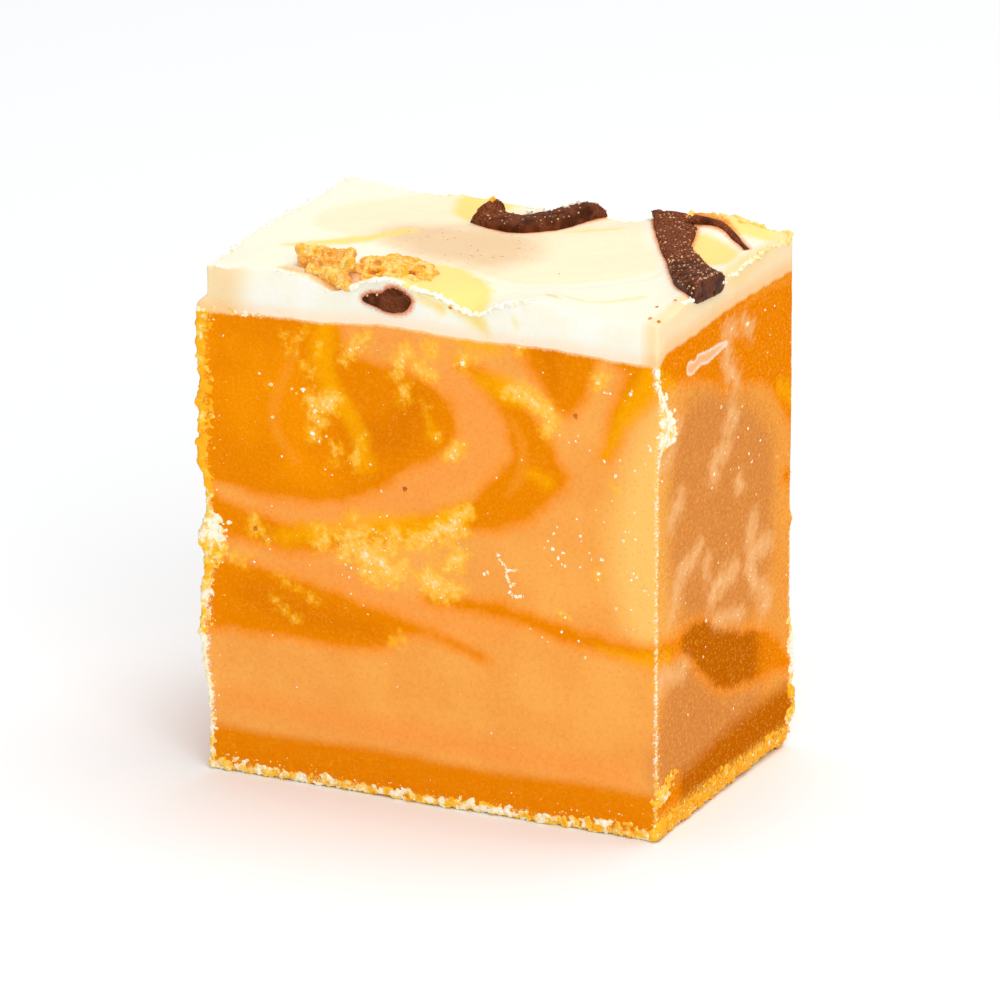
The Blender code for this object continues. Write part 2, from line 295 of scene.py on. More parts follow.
def side_place(x, y, z):
    """X and Y of the uneven side at the outline point x, y and the height z."""
    inner_x, inner_y = HALF_WIDTH - UPRIGHT_RADIUS, HALF_DEPTH - UPRIGHT_RADIUS
    core = np.stack([np.clip(x, -inner_x, inner_x), np.clip(y, -inner_y, inner_y)])
    outward = np.stack([x, y]) - core
    outward = outward / np.linalg.norm(outward, axis=0)
    worn = ramp((x + y) / (HALF_WIDTH + HALF_DEPTH))
    radius = FOOT_RADIUS_FRONT + (FOOT_RADIUS_BACK - FOOT_RADIUS_FRONT) * worn
    foot = radius - np.sqrt(np.maximum(radius**2 - np.clip(radius - z, 0.0, radius) ** 2, 0.0))
    relief = 0.11 * wobble(x, y, z, 7.0) + 0.04 * rough(x, y, z, 1.6, seed=5)
    relief += 0.14 * ramp((1.7 - z) / 0.8) * rough(x, y, z, 0.8, seed=9) - recess(x, y, z)
    place = core + outward * (UPRIGHT_RADIUS + relief - foot) + torn(x, y, z)
    return [np.clip(place[axis], LIMIT_LOW[axis], LIMIT_HIGH[axis]) for axis in (0, 1)]


print("lip at the front left edge:", torn(-HALF_WIDTH, -HALF_DEPTH, np.array([30.0])).round(2).ravel())

# %% [markdown]
# ## Drawing the marbling
# Marbled fudge is two colours of caramel folded together a few times. A texture made of noise alone
# never looks folded, so we draw the folds: a `pool` is a smooth closed outline, and a `stroke` is a
# line of changing width. For every mesh point we work out how deep it lies in the nearest shape,
# in millimetres. The material later turns that depth into colour, with a soft and wobbly edge.

# %% Depth inside pools and strokes
FAR = 6.0


def smooth_curve(knots, closed=False, steps=7):
    """A smooth curve through the knots; each knot is a row of numbers."""
    knots = np.array(knots, float)
    ends = [knots[-1:], knots, knots[:2]] if closed else [knots[:1], knots, knots[-1:]]
    padded = np.concatenate(ends)
    spans = len(knots) if closed else len(knots) - 1
    t = np.linspace(0, 1, steps, endpoint=False)[:, None]
    parts = []
    for i in range(spans):
        before, start, end, after = padded[i : i + 4]
        bend = 2 * before - 5 * start + 4 * end - after
        twist = 3 * start - before - 3 * end + after
        parts.append(0.5 * (2 * start + (end - before) * t + bend * t**2 + twist * t**3))
    return np.concatenate(parts if closed else [*parts, knots[-1:]])


def gap_to_segment(places, start, end):
    """Distance from each place to a segment, and how far along it the nearest point lies."""
    along = end - start
    share = np.clip(((places - start) @ along) / max(along @ along, 1e-9), 0.0, 1.0)
    return np.linalg.norm(places - start - share[:, None] * along, axis=1), share


def depth_in_pool(places, knots):
    outline = smooth_curve(knots, closed=True)
    gap = np.full(len(places), FAR)
    inside = np.zeros(len(places), bool)
    for start, end in zip(outline, np.roll(outline, -1, axis=0)):
        gap = np.minimum(gap, gap_to_segment(places, start, end)[0])
        spans = (start[1] > places[:, 1]) != (end[1] > places[:, 1])
        rise = end[1] - start[1] if end[1] != start[1] else 1e-9
        crossing = start[0] + (places[:, 1] - start[1]) * (end[0] - start[0]) / rise
        inside ^= spans & (places[:, 0] < crossing)
    return np.where(inside, gap, -gap)


def depth_in_stroke(places, knots):
    line = smooth_curve(knots)
    depth = np.full(len(places), -FAR)
    for start, end in zip(line, line[1:]):
        gap, share = gap_to_segment(places, start[:2], end[:2])
        depth = np.maximum(depth, (start[2] + (end[2] - start[2]) * share) / 2 - gap)
    return depth


def deepest(places, shapes, period=None):
    """Depth in the deepest of the shapes, which are tuples of kind, shift and knots."""
    depth = np.full(len(places), -FAR)
    for kind, knots in shapes:
        measure = depth_in_pool if kind == "pool" else depth_in_stroke
        knots = np.array(knots, float)
        for turn in (0, -1, 1) if period else (0,):
            moved = knots.copy()
            moved[:, 0] += turn * (period or 0)
            near = (places[:, 0] > moved[:, 0].min() - FAR) & (places[:, 0] < moved[:, 0].max() + FAR)
            if near.any():
                depth[near] = np.maximum(depth[near], measure(places[near], moved))
    return depth


def on_side(side, kind, *knots):
    """A shape drawn on one side: the first number of a knot is X or Y there."""
    return kind, [(UNROLL[side](knot[0]), *knot[1:]) for knot in knots]


print("a smooth ring of", len(smooth_curve([(0, 0), (1, 0), (0, 1)], closed=True)), "points")

# %% [markdown]
# The folds of amber caramel. On the front one big fold curls over itself at the top left, a ring runs
# round it, and thin drawn-out streaks lie below. The same folds go on round the corners, so each
# shape starts or ends a little beyond its side.

# %% Amber folds
AMBER = [
    # the curl at the top left of the front, and its dark heart
    on_side("front", "pool", (-24, 26.2), (-20, 24.9), (-15, 24.1), (-9.5, 24.4), (-5, 25.8),
            (-2, 28), (1, 29.9), (2.4, 32.4), (1.3, 34.9), (-2.0, 36.4), (-6.4, 37.0),
            (-8.0, 38.7), (-8.8, 42), (-25, 42)),
    # the ring round it
    on_side("front", "stroke", (2.4, 37.8, 0.4), (4.6, 36.9, 1.3), (6.7, 35.2, 2.0),
            (8.4, 32.6, 3.0), (9.2, 29.9, 4.4), (7.6, 27.5, 4.6), (4.8, 25.5, 2.8),
            (1, 24.2, 1.8), (-3, 22.8, 1.6), (-7, 21.6, 1.4), (-12, 20.9, 2.2),
            (-16, 21.3, 2.6), (-20, 22.2, 2.8), (-24, 23, 2)),
    on_side("front", "pool", (10.0, 31.2), (11.4, 30.6), (12.0, 29.0), (11.0, 27.8), (9.4, 28.2)),
    # what hangs down from the white layer at the right
    on_side("front", "pool", (6.6, 41.5), (8.0, 39.4), (9.6, 37), (11.6, 34.6), (13.2, 35.8),
            (14.2, 38), (14.4, 41.5)),
    on_side("front", "stroke", (19.6, 41, 3.2), (18.4, 38.2, 2.8), (17, 36, 1.5),
            (16.2, 34, 1.3), (15.4, 31.8, 0.6)),
    # streaks across the lower half
    on_side("front", "pool", (-25, 18.4), (-20, 18.2), (-15, 17.9), (-9, 16.9), (-4, 15.8),
            (-0.5, 15.0), (1.7, 14.5), (3.9, 13.8), (5.0, 13.1), (3.6, 13.3), (1.7, 13.9),
            (-0.5, 14.3), (-2.4, 14.1), (-3.9, 12.9), (-7, 12.3), (-13, 12.3), (-20, 12.2), (-25, 11.2)),
    on_side("front", "stroke", (-0.6, 17.5, 0.4), (2.4, 17.5, 1.0), (4.6, 17.6, 1.2), (6.8, 17.4, 1.2),
            (9, 17.0, 1.2), (11.2, 16.5, 1.3), (13.7, 16.1, 1.3), (15.9, 15.9, 1.3), (18.3, 15.7, 1.3),
            (20.3, 15.7, 1.4), (23, 15.5, 1.4)),
    # the right side: a strip under the white layer, and a thick lens low down
    on_side("right", "pool", (-15, 38.2), (-11.5, 37.9), (-9, 37.5), (-6.3, 37.1), (-2.5, 35.6),
            (0, 34.3), (4.6, 33.5), (7.5, 32.5), (9.8, 30.7), (12.6, 27.8), (17, 28), (17, 42.5),
            (-15, 42.5)),
    on_side("right", "pool", (-13.5, 15.9), (-10.8, 15.8), (-8.4, 16.1), (-6.4, 16.4), (-4.2, 16.2),
            (-1.8, 14.9), (3, 12.9), (6.4, 12.0), (9.8, 10.0), (12.8, 7.6), (16, 6.6), (12.8, 6.6),
            (9.9, 7.3), (6.5, 7.8), (3.1, 8.2), (-0.8, 9.2), (-4.1, 11.4), (-6.8, 13.6), (-9.6, 14.9),
            (-13.5, 14.9)),
    # the back: a long fold from the right, one from the left, and a hooked streak
    on_side("back", "pool", (22, 31), (16, 27.5), (10, 27), (6, 29.4), (5, 33), (8, 36),
            (12, 37), (12.5, 42), (22, 42)),
    on_side("back", "stroke", (3.6, 37.5, 0.5), (1, 34, 2), (0.5, 29.5, 3.2), (4, 25.4, 3.6),
            (9.5, 23.2, 2.4), (16, 22.8, 1.6), (21, 23.4, 1)),
    on_side("back", "pool", (-24, 40), (-17, 37.5), (-11, 37), (-8, 38.6), (-7, 42), (-24, 42)),
    on_side("back", "pool", (-24, 20), (-16, 20.5), (-9, 18.6), (-3, 15.5), (2, 13), (-2, 12.2),
            (-9, 13.4), (-16, 13.2), (-24, 12.4)),
    on_side("back", "stroke", (-18, 33, 0.5), (-13, 31, 1.6), (-8, 27.6, 2.2), (-5.4, 23.4, 1.4)),
    # the left side
    on_side("left", "stroke", (13, 16, 6.6), (8, 14.6, 4.6), (3, 13.2, 2.6), (-3, 13.8, 1.6),
            (-9, 14.8, 3), (-13, 15, 5)),
    on_side("left", "stroke", (14, 33, 3), (8, 34.6, 3.4), (3, 32, 3), (-1, 27.4, 2.4),
            (-2, 22.4, 1)),
    on_side("left", "pool", (-15, 25.6), (-9, 27.4), (-5, 32), (-2, 36.6), (3, 38), (4, 42),
            (-15, 42)),
]
print(len(AMBER), "amber folds")

# %% [markdown]
# Four more drawings go on the same strip. `HONEY` is where the caramel is clearer and more yellow.
# `FROST` is where sugar has come out of the caramel as pale, feathery crystals. `THIN` is amber that
# lies as a thin skin over lighter caramel, so it looks brighter. `PALE` is a thin fold of light
# caramel inside the ring.

# %% Places where the caramel is clearer, thinner, warmer or paler
HONEY = [
    on_side("front", "stroke", (-8.8, 41, 1.6), (-9.6, 37, 2.2), (-8.8, 34, 1.8), (-6.6, 31, 1.4),
            (-5.8, 28, 1.4)),
    on_side("front", "stroke", (-13, 20.9, 1.6), (-9, 22.0, 1.4), (-6.8, 23.2, 1.2), (-3.2, 23.4, 1.9),
            (0, 23.8, 1.8), (3.0, 25.2, 1.4)),
    on_side("front", "stroke", (0.6, 40.4, 1.2), (3.6, 39.8, 1.6), (6.4, 39.4, 0.8)),
    on_side("front", "stroke", (4.4, 36.8, 1.0), (6.8, 36.0, 2.0), (9.2, 35.3, 1.2)),
    on_side("front", "stroke", (15, 15.6, 0.5), (18, 15.3, 0.9), (20, 15.3, 1.4), (22, 15.1, 1)),
    on_side("front", "stroke", (19.8, 38.8, 2.4), (18.2, 36.8, 2.0), (16.4, 34.0, 1.2), (15.4, 32, 0.6)),
    on_side("front", "stroke", (-20.2, 40, 1.0), (-20.2, 24, 0.8), (-20, 14, 0.6)),
    on_side("front", "stroke", (0.2, 31.4, 0.9), (-0.1, 32.8, 0.4)),
    on_side("front", "stroke", (10.4, 29.0, 1.2), (8.8, 29.4, 0.5)),
    on_side("right", "stroke", (-13, 38.6, 1.6), (-11.6, 38.2, 1.6), (-10, 37.6, 0.6)),
    on_side("right", "stroke", (10.4, 31.6, 1.4), (12.6, 30, 1.6)),
    on_side("back", "stroke", (8, 26, 1.6), (2, 24, 2), (-4, 26, 1)),
    on_side("back", "stroke", (14, 38, 2.4), (10, 33, 2), (12, 29, 1)),
    on_side("left", "stroke", (8, 18, 1.6), (1, 16, 2), (-6, 17, 1.4)),
    on_side("left", "stroke", (-12, 38, 2), (-7, 34, 2)),
]
THIN = [
    on_side("front", "stroke", (-21, 36, 5), (-16, 34, 9), (-13, 29, 6), (-10, 27, 3)),
    on_side("right", "stroke", (-13, 39.5, 4), (-9, 39.3, 3), (-2, 39, 1)),
    on_side("right", "stroke", (10, 36, 4), (13, 33, 5), (13, 29, 3)),
    on_side("back", "stroke", (18, 36, 7), (12, 33, 5)),
    on_side("left", "stroke", (-12, 35, 7), (-7, 33, 4)),
]
WARM = [
    on_side("front", "stroke", (-15, 23.3, 1.0), (-6, 24.0, 1.8), (-1, 26.6, 2.4), (3.4, 29.4, 3.6),
            (4.6, 32.6, 3.6), (2, 36.2, 2.0)),
    on_side("front", "stroke", (-14, 19.4, 1.0), (-6, 17.6, 1.6), (2, 15.9, 1.6), (6, 15.4, 1.0)),
    on_side("front", "stroke", (-7, 39.6, 1.6), (-4, 38.8, 1.4), (0.4, 38.4, 1.2)),
    on_side("front", "stroke", (-18, 6.4, 1.8), (0, 5.6, 1.8), (17, 5.2, 1.6)),
]
# painted light: a lighter, yellower strip of the front by its right edge, a painted glow of light shining through the
# corner
PAINTED_EDGE_GLOW = [
    on_side("front", "pool", (22.5, 37), (19.4, 35.6), (17.6, 31), (16.6, 25), (17.0, 19.6), (19, 16.6),
            (22.5, 16.4)),
]
PALE = [
    on_side("front", "stroke", (7.0, 34.0, 0.2), (8.1, 31.6, 0.9), (8.0, 29.2, 0.9), (6.8, 27.2, 0.3)),
    on_side("front", "stroke", (-12, 36.6, 0.6), (-14, 31, 0.9), (-12, 27.4, 0.5)),
    on_side("back", "stroke", (1.4, 33, 0.2), (1.2, 29.6, 0.8), (4.4, 26.4, 0.3)),
    on_side("right", "stroke", (4, 40.4, 0.4), (8, 40.6, 1.0), (12.4, 40.2, 1.2)),
]
DEEP = [
    on_side("front", "stroke", (-1, 34, 2), (-3, 31, 3), (-6.4, 30.4, 2)),
    on_side("front", "stroke", (10.4, 40, 2), (10.8, 37, 1)),
    on_side("front", "stroke", (-16, 15.6, 2), (-11, 14.6, 2), (-5, 14.0, 1)),
    on_side("right", "pool", (-6.6, 14.4), (-4.6, 15.8), (-1.4, 14.4), (3, 12.4), (6.4, 11.4), (8.4, 10.0),
            (6.2, 8.6), (3.1, 8.6), (-0.8, 9.7), (-3.8, 11.6)),
    on_side("right", "stroke", (-9, 1.6, 2.4), (-3, 1.8, 3.0), (4, 2.2, 3.4), (12, 2.4, 3.4)),
    on_side("back", "stroke", (-3, 15, 1), (-10, 15.4, 2), (-16, 16, 2)),
]
TAN = [
    on_side("right", "pool", (-9.0, 33), (-5, 35), (0, 33.4), (5, 31), (8.4, 27), (8.6, 21), (7.6, 16), (3, 14),
            (-2, 15), (-6, 17), (-9.4, 20), (-10, 27)),
    on_side("right", "pool", (-11.6, 4.2), (-11.6, 10), (-8, 13.4), (-4, 10.4), (1, 7.8), (6, 6.6), (5, 5),
            (-2, 4.0)),
]
SMEAR = [on_side("right", "pool", (-7.5, 37.9), (-7.3, 38.7), (-6.2, 38.5), (-5.3, 38.8), (-3.9, 38.6), (-2.1, 38.5),
                 (0, 38.3), (0.3, 38.0), (-1.5, 37.8), (-3.4, 37.6), (-4.9, 37.8), (-6.6, 37.5))]
print(len(HONEY), "honey,", len(THIN), "thin,", len(WARM), "warm and", len(PALE), "pale places")

# %% [markdown]
# Sugar comes out of old caramel as pale, feathery patches. Each patch is a stroke again, and a row of
# them makes a ragged cloud. The same list is used twice: as a drawing that the material turns into
# a milky haze, and later as the place where real grains of sugar are laid.

# %% Frosted patches
FROST_ON = {
    "front": (
        # the curl
       
        ((-10.5, 32.8, 0.9), (-9.4, 32.5, 1.7), (-8.5, 33.1, 1.0)),
        ((-10.3, 31.7, 0.7), (-9.9, 31.0, 0.5)), ((-10.5, 30.0, 0.6), (-10.4, 29.7, 0.4)),
       
        ((-7.6, 36.6, 0.3), (-7.2, 37.4, 0.7), (-6.7, 37.8, 0.4)),
       
        # above it
        ((-6.4, 38.0, 0.4), (-5.6, 39.0, 0.3)),
        ((-1.6, 38.0, 0.5), (-2.2, 37.9, 0.9), (-2.8, 37.1, 0.6), (-2.6, 36.5, 0.6), (-3.1, 36.0, 0.3)),
        ((-1.1, 37.0, 0.6), (-0.6, 36.8, 0.8), (0.1, 36.4, 0.4)), ((0.1, 38.7, 0.7), (0.3, 38.4, 0.4)),
        ((3.6, 38.4, 0.3), (2.9, 38.2, 0.6), (3.0, 37.6, 0.5)),
        # in the ring
        ((2.7, 30.9, 0.3), (2.2, 30.2, 0.9), (1.6, 29.8, 0.4)),
        ((6.8, 35.9, 0.7), (7.9, 36.1, 1.0), (9.0, 35.6, 1.2), (10.1, 34.9, 1.2), (10.6, 34.1, 1.1),
         (10.3, 33.1, 0.5)),
        ((15.0, 38.4, 0.7), (14.7, 37.8, 0.3)), ((8.2, 40.5, 0.4), (7.8, 39.7, 0.3)),
        # the long cloud under the ring
        ((-16.0, 21.7, 0.3), (-15.7, 21.6, 0.3), (-15.8, 20.8, 0.3), (-15.4, 21.0, 0.3), (-14.8, 20.5, 0.3)),
        ((-10.3, 21.6, 0.4), (-9.9, 21.9, 0.3), (-9.4, 21.4, 0.5), (-9.6, 20.7, 0.6), (-10.2, 20.7, 0.5)),
        ((-8.1, 21.5, 0.5), (-7.2, 21.7, 0.9), (-6.2, 22.1, 1.0)),
        ((-7.9, 20.2, 0.7), (-6.7, 20.9, 1.6), (-5.6, 20.3, 2.0), (-4.5, 20.0, 1.8), (-3.7, 19.3, 1.4)),
        ((-5.9, 19.1, 0.6), (-4.7, 18.4, 0.7)), ((-3.5, 18.6, 0.7), (-2.5, 19.9, 1.0)),
        ((-3.2, 22.7, 0.9), (-3.3, 21.2, 1.1)), ((-5.4, 22.3, 0.6), (-4.7, 21.6, 1.0)), ((-1.8, 22.1, 0.9), (-0.5, 22.5, 1.2)),
        ((-0.4, 19.1, 1.4), (0.1, 18.2, 0.9)),
        ((-0.3, 22.3, 0.9), (0.4, 23.2, 1.2), (1.7, 23.9, 1.6), (2.8, 24.9, 1.2), (3.3, 25.6, 0.5)),
        ((2.8, 23.8, 0.9), (1.1, 22.7, 0.7)), ((2.8, 21.8, 0.6), (2.2, 21.2, 1.2), (1.5, 20.5, 0.8)),
        ((-0.1, 19.6, 1.0), (0.2, 19.1, 1.6), (1.3, 18.7, 1.2), (2.3, 18.6, 0.8)),
        ((0.8, 18.0, 0.7), (1.2, 17.9, 0.4)),
       
       
       
    ),
    "front, faint": (
        ((-13.1, 38.4, 0.2), (-12.6, 36.7, 0.2)),
        ((-11.1, 38.8, 0.4), (-12.4, 36.9, 0.5), (-12.8, 36.4, 0.2)),
        ((-8.5, 29.0, 1.0), (-8.6, 28.0, 0.7)), ((-14.3, 33.7, 0.3), (-14.1, 33.4, 0.4)),
        ((-6.1, 30.4, 0.3), (-6.5, 29.2, 0.8), (-6.7, 28.1, 0.9), (-6.8, 27.2, 0.4)),
        ((-2.2, 34.8, 1.2), (-2.4, 34.1, 1.0)), ((-0.7, 34.2, 0.3), (-0.3, 33.6, 0.4), (-0.2, 33.1, 0.3)),
        ((0.5, 31.4, 0.5), (0.7, 31.0, 0.3)), ((-17.6, 18.4, 0.9), (-16.9, 18.1, 0.7), (-16.4, 18.8, 0.4)),
        ((-13.7, 17.5, 0.3), (-12.9, 17.2, 0.6), (-11.9, 16.5, 0.4)),
        ((-14.5, 15.6, 0.4), (-13.7, 15.2, 0.6), (-13.1, 14.6, 0.6), (-12.4, 14.2, 0.7), (-11.8, 13.7, 0.4)),
        ((-10.6, 15.9, 0.5), (-10.2, 15.7, 0.3)),
        ((-3.5, 13.3, 0.3), (-2.9, 13.7, 0.7), (-2.3, 13.3, 0.4)), ((17.0, 29.3, 0.3), (15.9, 29.3, 0.5)),
        ((14.8, 21.9, 0.4), (14.8, 21.4, 0.3)), ((11.5, 18.1, 0.3), (11.9, 17.8, 0.2)),
        ((-9.7, 37.6, 0.4), (-9.9, 36.7, 0.4)), ((-11.2, 35.6, 0.6), (-10.5, 35.1, 0.6)),
        ((-6.7, 23.7, 0.3), (-7.0, 23.3, 0.7)),
    ),
    "right": (
        ((0.0, 39.0, 0.4), (1.0, 39.0, 0.6), (1.9, 38.9, 0.3)), ((3.3, 39.0, 0.3), (4.6, 38.1, 0.5)),
        ((0.5, 38.3, 0.3), (0.4, 37.5, 0.7), (0.3, 36.5, 1.0), (1.3, 35.1, 1.0), (2.0, 34.1, 0.5)),
        ((1.2, 31.9, 1.1), (1.7, 31.4, 0.9)), ((0.4, 30.8, 0.7), (0.6, 30.5, 0.5)),
        ((0.4, 29.3, 0.8), (-1.7, 28.7, 1.0), (-2.0, 27.7, 0.9)),
        ((-9.1, 34.0, 0.3), (-10.0, 32.6, 0.6), (-11.4, 31.4, 0.4)), ((2.8, 25.5, 0.6), (3.2, 25.2, 0.3)),
        ((-8.3, 27.5, 0.9), (-9.7, 26.5, 0.8), (-10.0, 25.9, 0.3)),
        ((-4.7, 22.6, 0.3), (-5.7, 22.0, 0.6), (-8.0, 21.3, 1.1), (-9.0, 20.4, 0.8), (-9.4, 19.0, 0.6),
         (-10.1, 18.4, 0.3)),
        ((-3.3, 20.7, 0.6), (-3.5, 19.9, 0.4)), ((5.5, 21.4, 0.9), (4.8, 20.5, 1.0)),
        ((8.7, 18.9, 0.6), (5.8, 18.9, 1.3), (4.9, 18.2, 1.2), (5.4, 16.7, 1.0), (5.9, 15.8, 0.5)),
        ((2.0, 18.6, 0.9), (0.3, 18.3, 1.0), (-1.8, 17.9, 1.2), (-2.6, 17.2, 0.7)),
        ((6.8, 15.2, 0.9), (8.3, 14.1, 0.8), (7.3, 13.5, 0.8)),
        ((-1.8, 15.4, 0.3), (0.6, 14.9, 0.4), (3.0, 14.3, 0.5)),
        ((-7.7, 13.3, 0.4), (-8.2, 13.0, 0.6), (-9.8, 13.2, 0.6), (-11.7, 13.5, 0.9), (-12.2, 12.7, 0.4)),
    ),
    "back": (
        ((14, 34, 1), (11.6, 31, 1.8), (9.6, 29, 1)), ((-10, 34, 0.6), (-12, 31, 1.4), (-14, 30.4, 0.6)),
        ((6, 22, 1.2), (1.4, 21, 2.4), (-2.6, 19.6, 1.8), (-5, 20.4, 0.8)), ((-12, 17, 0.8), (-9, 15.6, 1)),
        ((16, 17, 0.5), (14, 15, 0.8)), ((3, 34, 0.4), (5, 36, 1.0), (6, 37.6, 0.5)),
        ((0, 19, 1), (2, 18, 1.2), (3, 16.6, 0.5)), ((-3, 28, 0.5), (-4.6, 26.6, 0.9)),
    ),
    "left": (
        ((5, 28, 0.8), (3.4, 25, 1.6), (3, 22, 0.8)), ((-6, 23, 0.8), (-8, 21, 1.6), (-10, 20.6, 0.6)),
        ((9, 38, 0.6), (6.4, 36.4, 1.2)), ((-9, 33, 0.6), (-8, 30.4, 1.2), (-7, 28.6, 0.5)),
        ((0, 18, 0.5), (2, 19, 1.1), (4, 18.6, 0.6)), ((8, 8, 0.4), (6, 9, 0.6)),
    ),
}
FROST = []
for side, patches in FROST_ON.items():
    narrower = 0.7 if "faint" in side else (0.0 if side == "front" else -0.35)
    for knots in patches:
        FROST.append(on_side(side.split(",")[0], "stroke", *[(u, z, width - narrower) for u, z, width in knots]))
print(len(FROST), "frosted patches")

# %% [markdown]
# ## Nodes in short
# Material nodes take many lines when each is made by hand. These helpers make one node and wire it
# in one call. A number given to an input sets its socket; a socket given to it is linked.

# %% Helpers for materials
def linear(red, green, blue):
    """A colour picked on screen, 0 to 255, as Blender's linear values."""
    shares = [c / 255 for c in (red, green, blue)]
    return (*[c / 12.92 if c <= 0.04045 else ((c + 0.055) / 1.055) ** 2.4 for c in shares], 1.0)


class Recipe:
    """One material's node tree, with short calls for the nodes that this lesson uses."""

    def __init__(self, name):
        self.material = bpy.data.materials.new(name)
        self.material.use_nodes = True
        self.tree = self.material.node_tree
        self.shader = self.tree.nodes["Principled BSDF"]
        self.place = self.tree.nodes.new("ShaderNodeTexCoord").outputs["Object"]

    def feed(self, socket, value):
        if isinstance(value, bpy.types.NodeSocket):
            self.tree.links.new(value, socket)
        else:
            socket.default_value = value

    def math(self, operation, *values, clamp=False):
        node = self.tree.nodes.new("ShaderNodeMath")
        node.operation = operation
        node.use_clamp = clamp
        for socket, value in zip(node.inputs, values):
            self.feed(socket, value)
        return node.outputs[0]

    def drawn(self, attribute):
        """A drawing that the mesh carries, such as the depth in the amber folds."""
        node = self.tree.nodes.new("ShaderNodeAttribute")
        node.attribute_name = attribute
        return node.outputs["Fac"]

    def noise(self, size, detail=2.0, roughness=0.5, stretch=(1, 1, 1), tilt=0.0):
        """Noise from 0 to 1 with lumps about size millimetres across, drawn out by stretch."""
        place = self.place
        if stretch != (1, 1, 1):
            node = self.tree.nodes.new("ShaderNodeMapping")
            node.vector_type = "TEXTURE"
            self.feed(node.inputs["Vector"], place)
            node.inputs["Rotation"].default_value[0] = math.radians(tilt)
            node.inputs["Scale"].default_value = stretch
            place = node.outputs[0]
        node = self.tree.nodes.new("ShaderNodeTexNoise")
        self.feed(node.inputs["Vector"], place)
        node.inputs["Scale"].default_value = 1.0 / (size * MM)
        node.inputs["Detail"].default_value = detail
        node.inputs["Roughness"].default_value = roughness
        return node.outputs["Fac"]

    def cells(self, size, feature="F1", output="Distance", randomness=1.0):
        node = self.tree.nodes.new("ShaderNodeTexVoronoi")
        node.feature = feature
        self.feed(node.inputs["Vector"], self.place)
        node.inputs["Scale"].default_value = 1.0 / (size * MM)
        node.inputs["Randomness"].default_value = randomness
        return node.outputs[output]

    def between(self, value, low, high):
        """0 below low, 1 above high, with a soft step between; low may be above high."""
        node = self.tree.nodes.new("ShaderNodeMapRange")
        node.interpolation_type = "SMOOTHSTEP"
        self.feed(node.inputs["Value"], value)
        self.feed(node.inputs["From Min"], low)
        self.feed(node.inputs["From Max"], high)
        return node.outputs[0]

    def blend(self, share, first, second, kind="MIX"):
        node = self.tree.nodes.new("ShaderNodeMix")
        node.data_type = "RGBA"
        node.blend_type = kind
        self.feed(node.inputs[0], share)
        self.feed(node.inputs[6], first)
        self.feed(node.inputs[7], second)
        return node.outputs[2]

    def bump(self, height, distance, strength=1.0):
        node = self.tree.nodes.new("ShaderNodeBump")
        node.inputs["Distance"].default_value = distance * MM
        node.inputs["Strength"].default_value = strength
        self.feed(node.inputs["Height"], height)
        self.feed(self.shader.inputs["Normal"], node.outputs[0])

    def finish(self, colour, roughness=0.5, specular=0.5, glow=0.0, glow_reach=(1.0, 0.4, 0.15)):
        """Sets the surface; glow is the share of light that wanders below it, reach in millimetres."""
        self.feed(self.shader.inputs["Base Color"], colour)
        self.feed(self.shader.inputs["Roughness"], roughness)
        self.shader.inputs["Specular IOR Level"].default_value = specular
        self.feed(self.shader.inputs["Subsurface Weight"], glow)
        self.shader.inputs["Subsurface Radius"].default_value = glow_reach
        self.shader.inputs["Subsurface Scale"].default_value = MM
        return self.material


print("helpers ready")

# %% [markdown]
# ## The caramel's finish
# One recipe serves the marbled body and the toffee base, because the two melt into each other where
# they meet. It reads the drawings, shakes their edges with noise, and lays the colours over each other
# from the plain light caramel up to the white sugar.

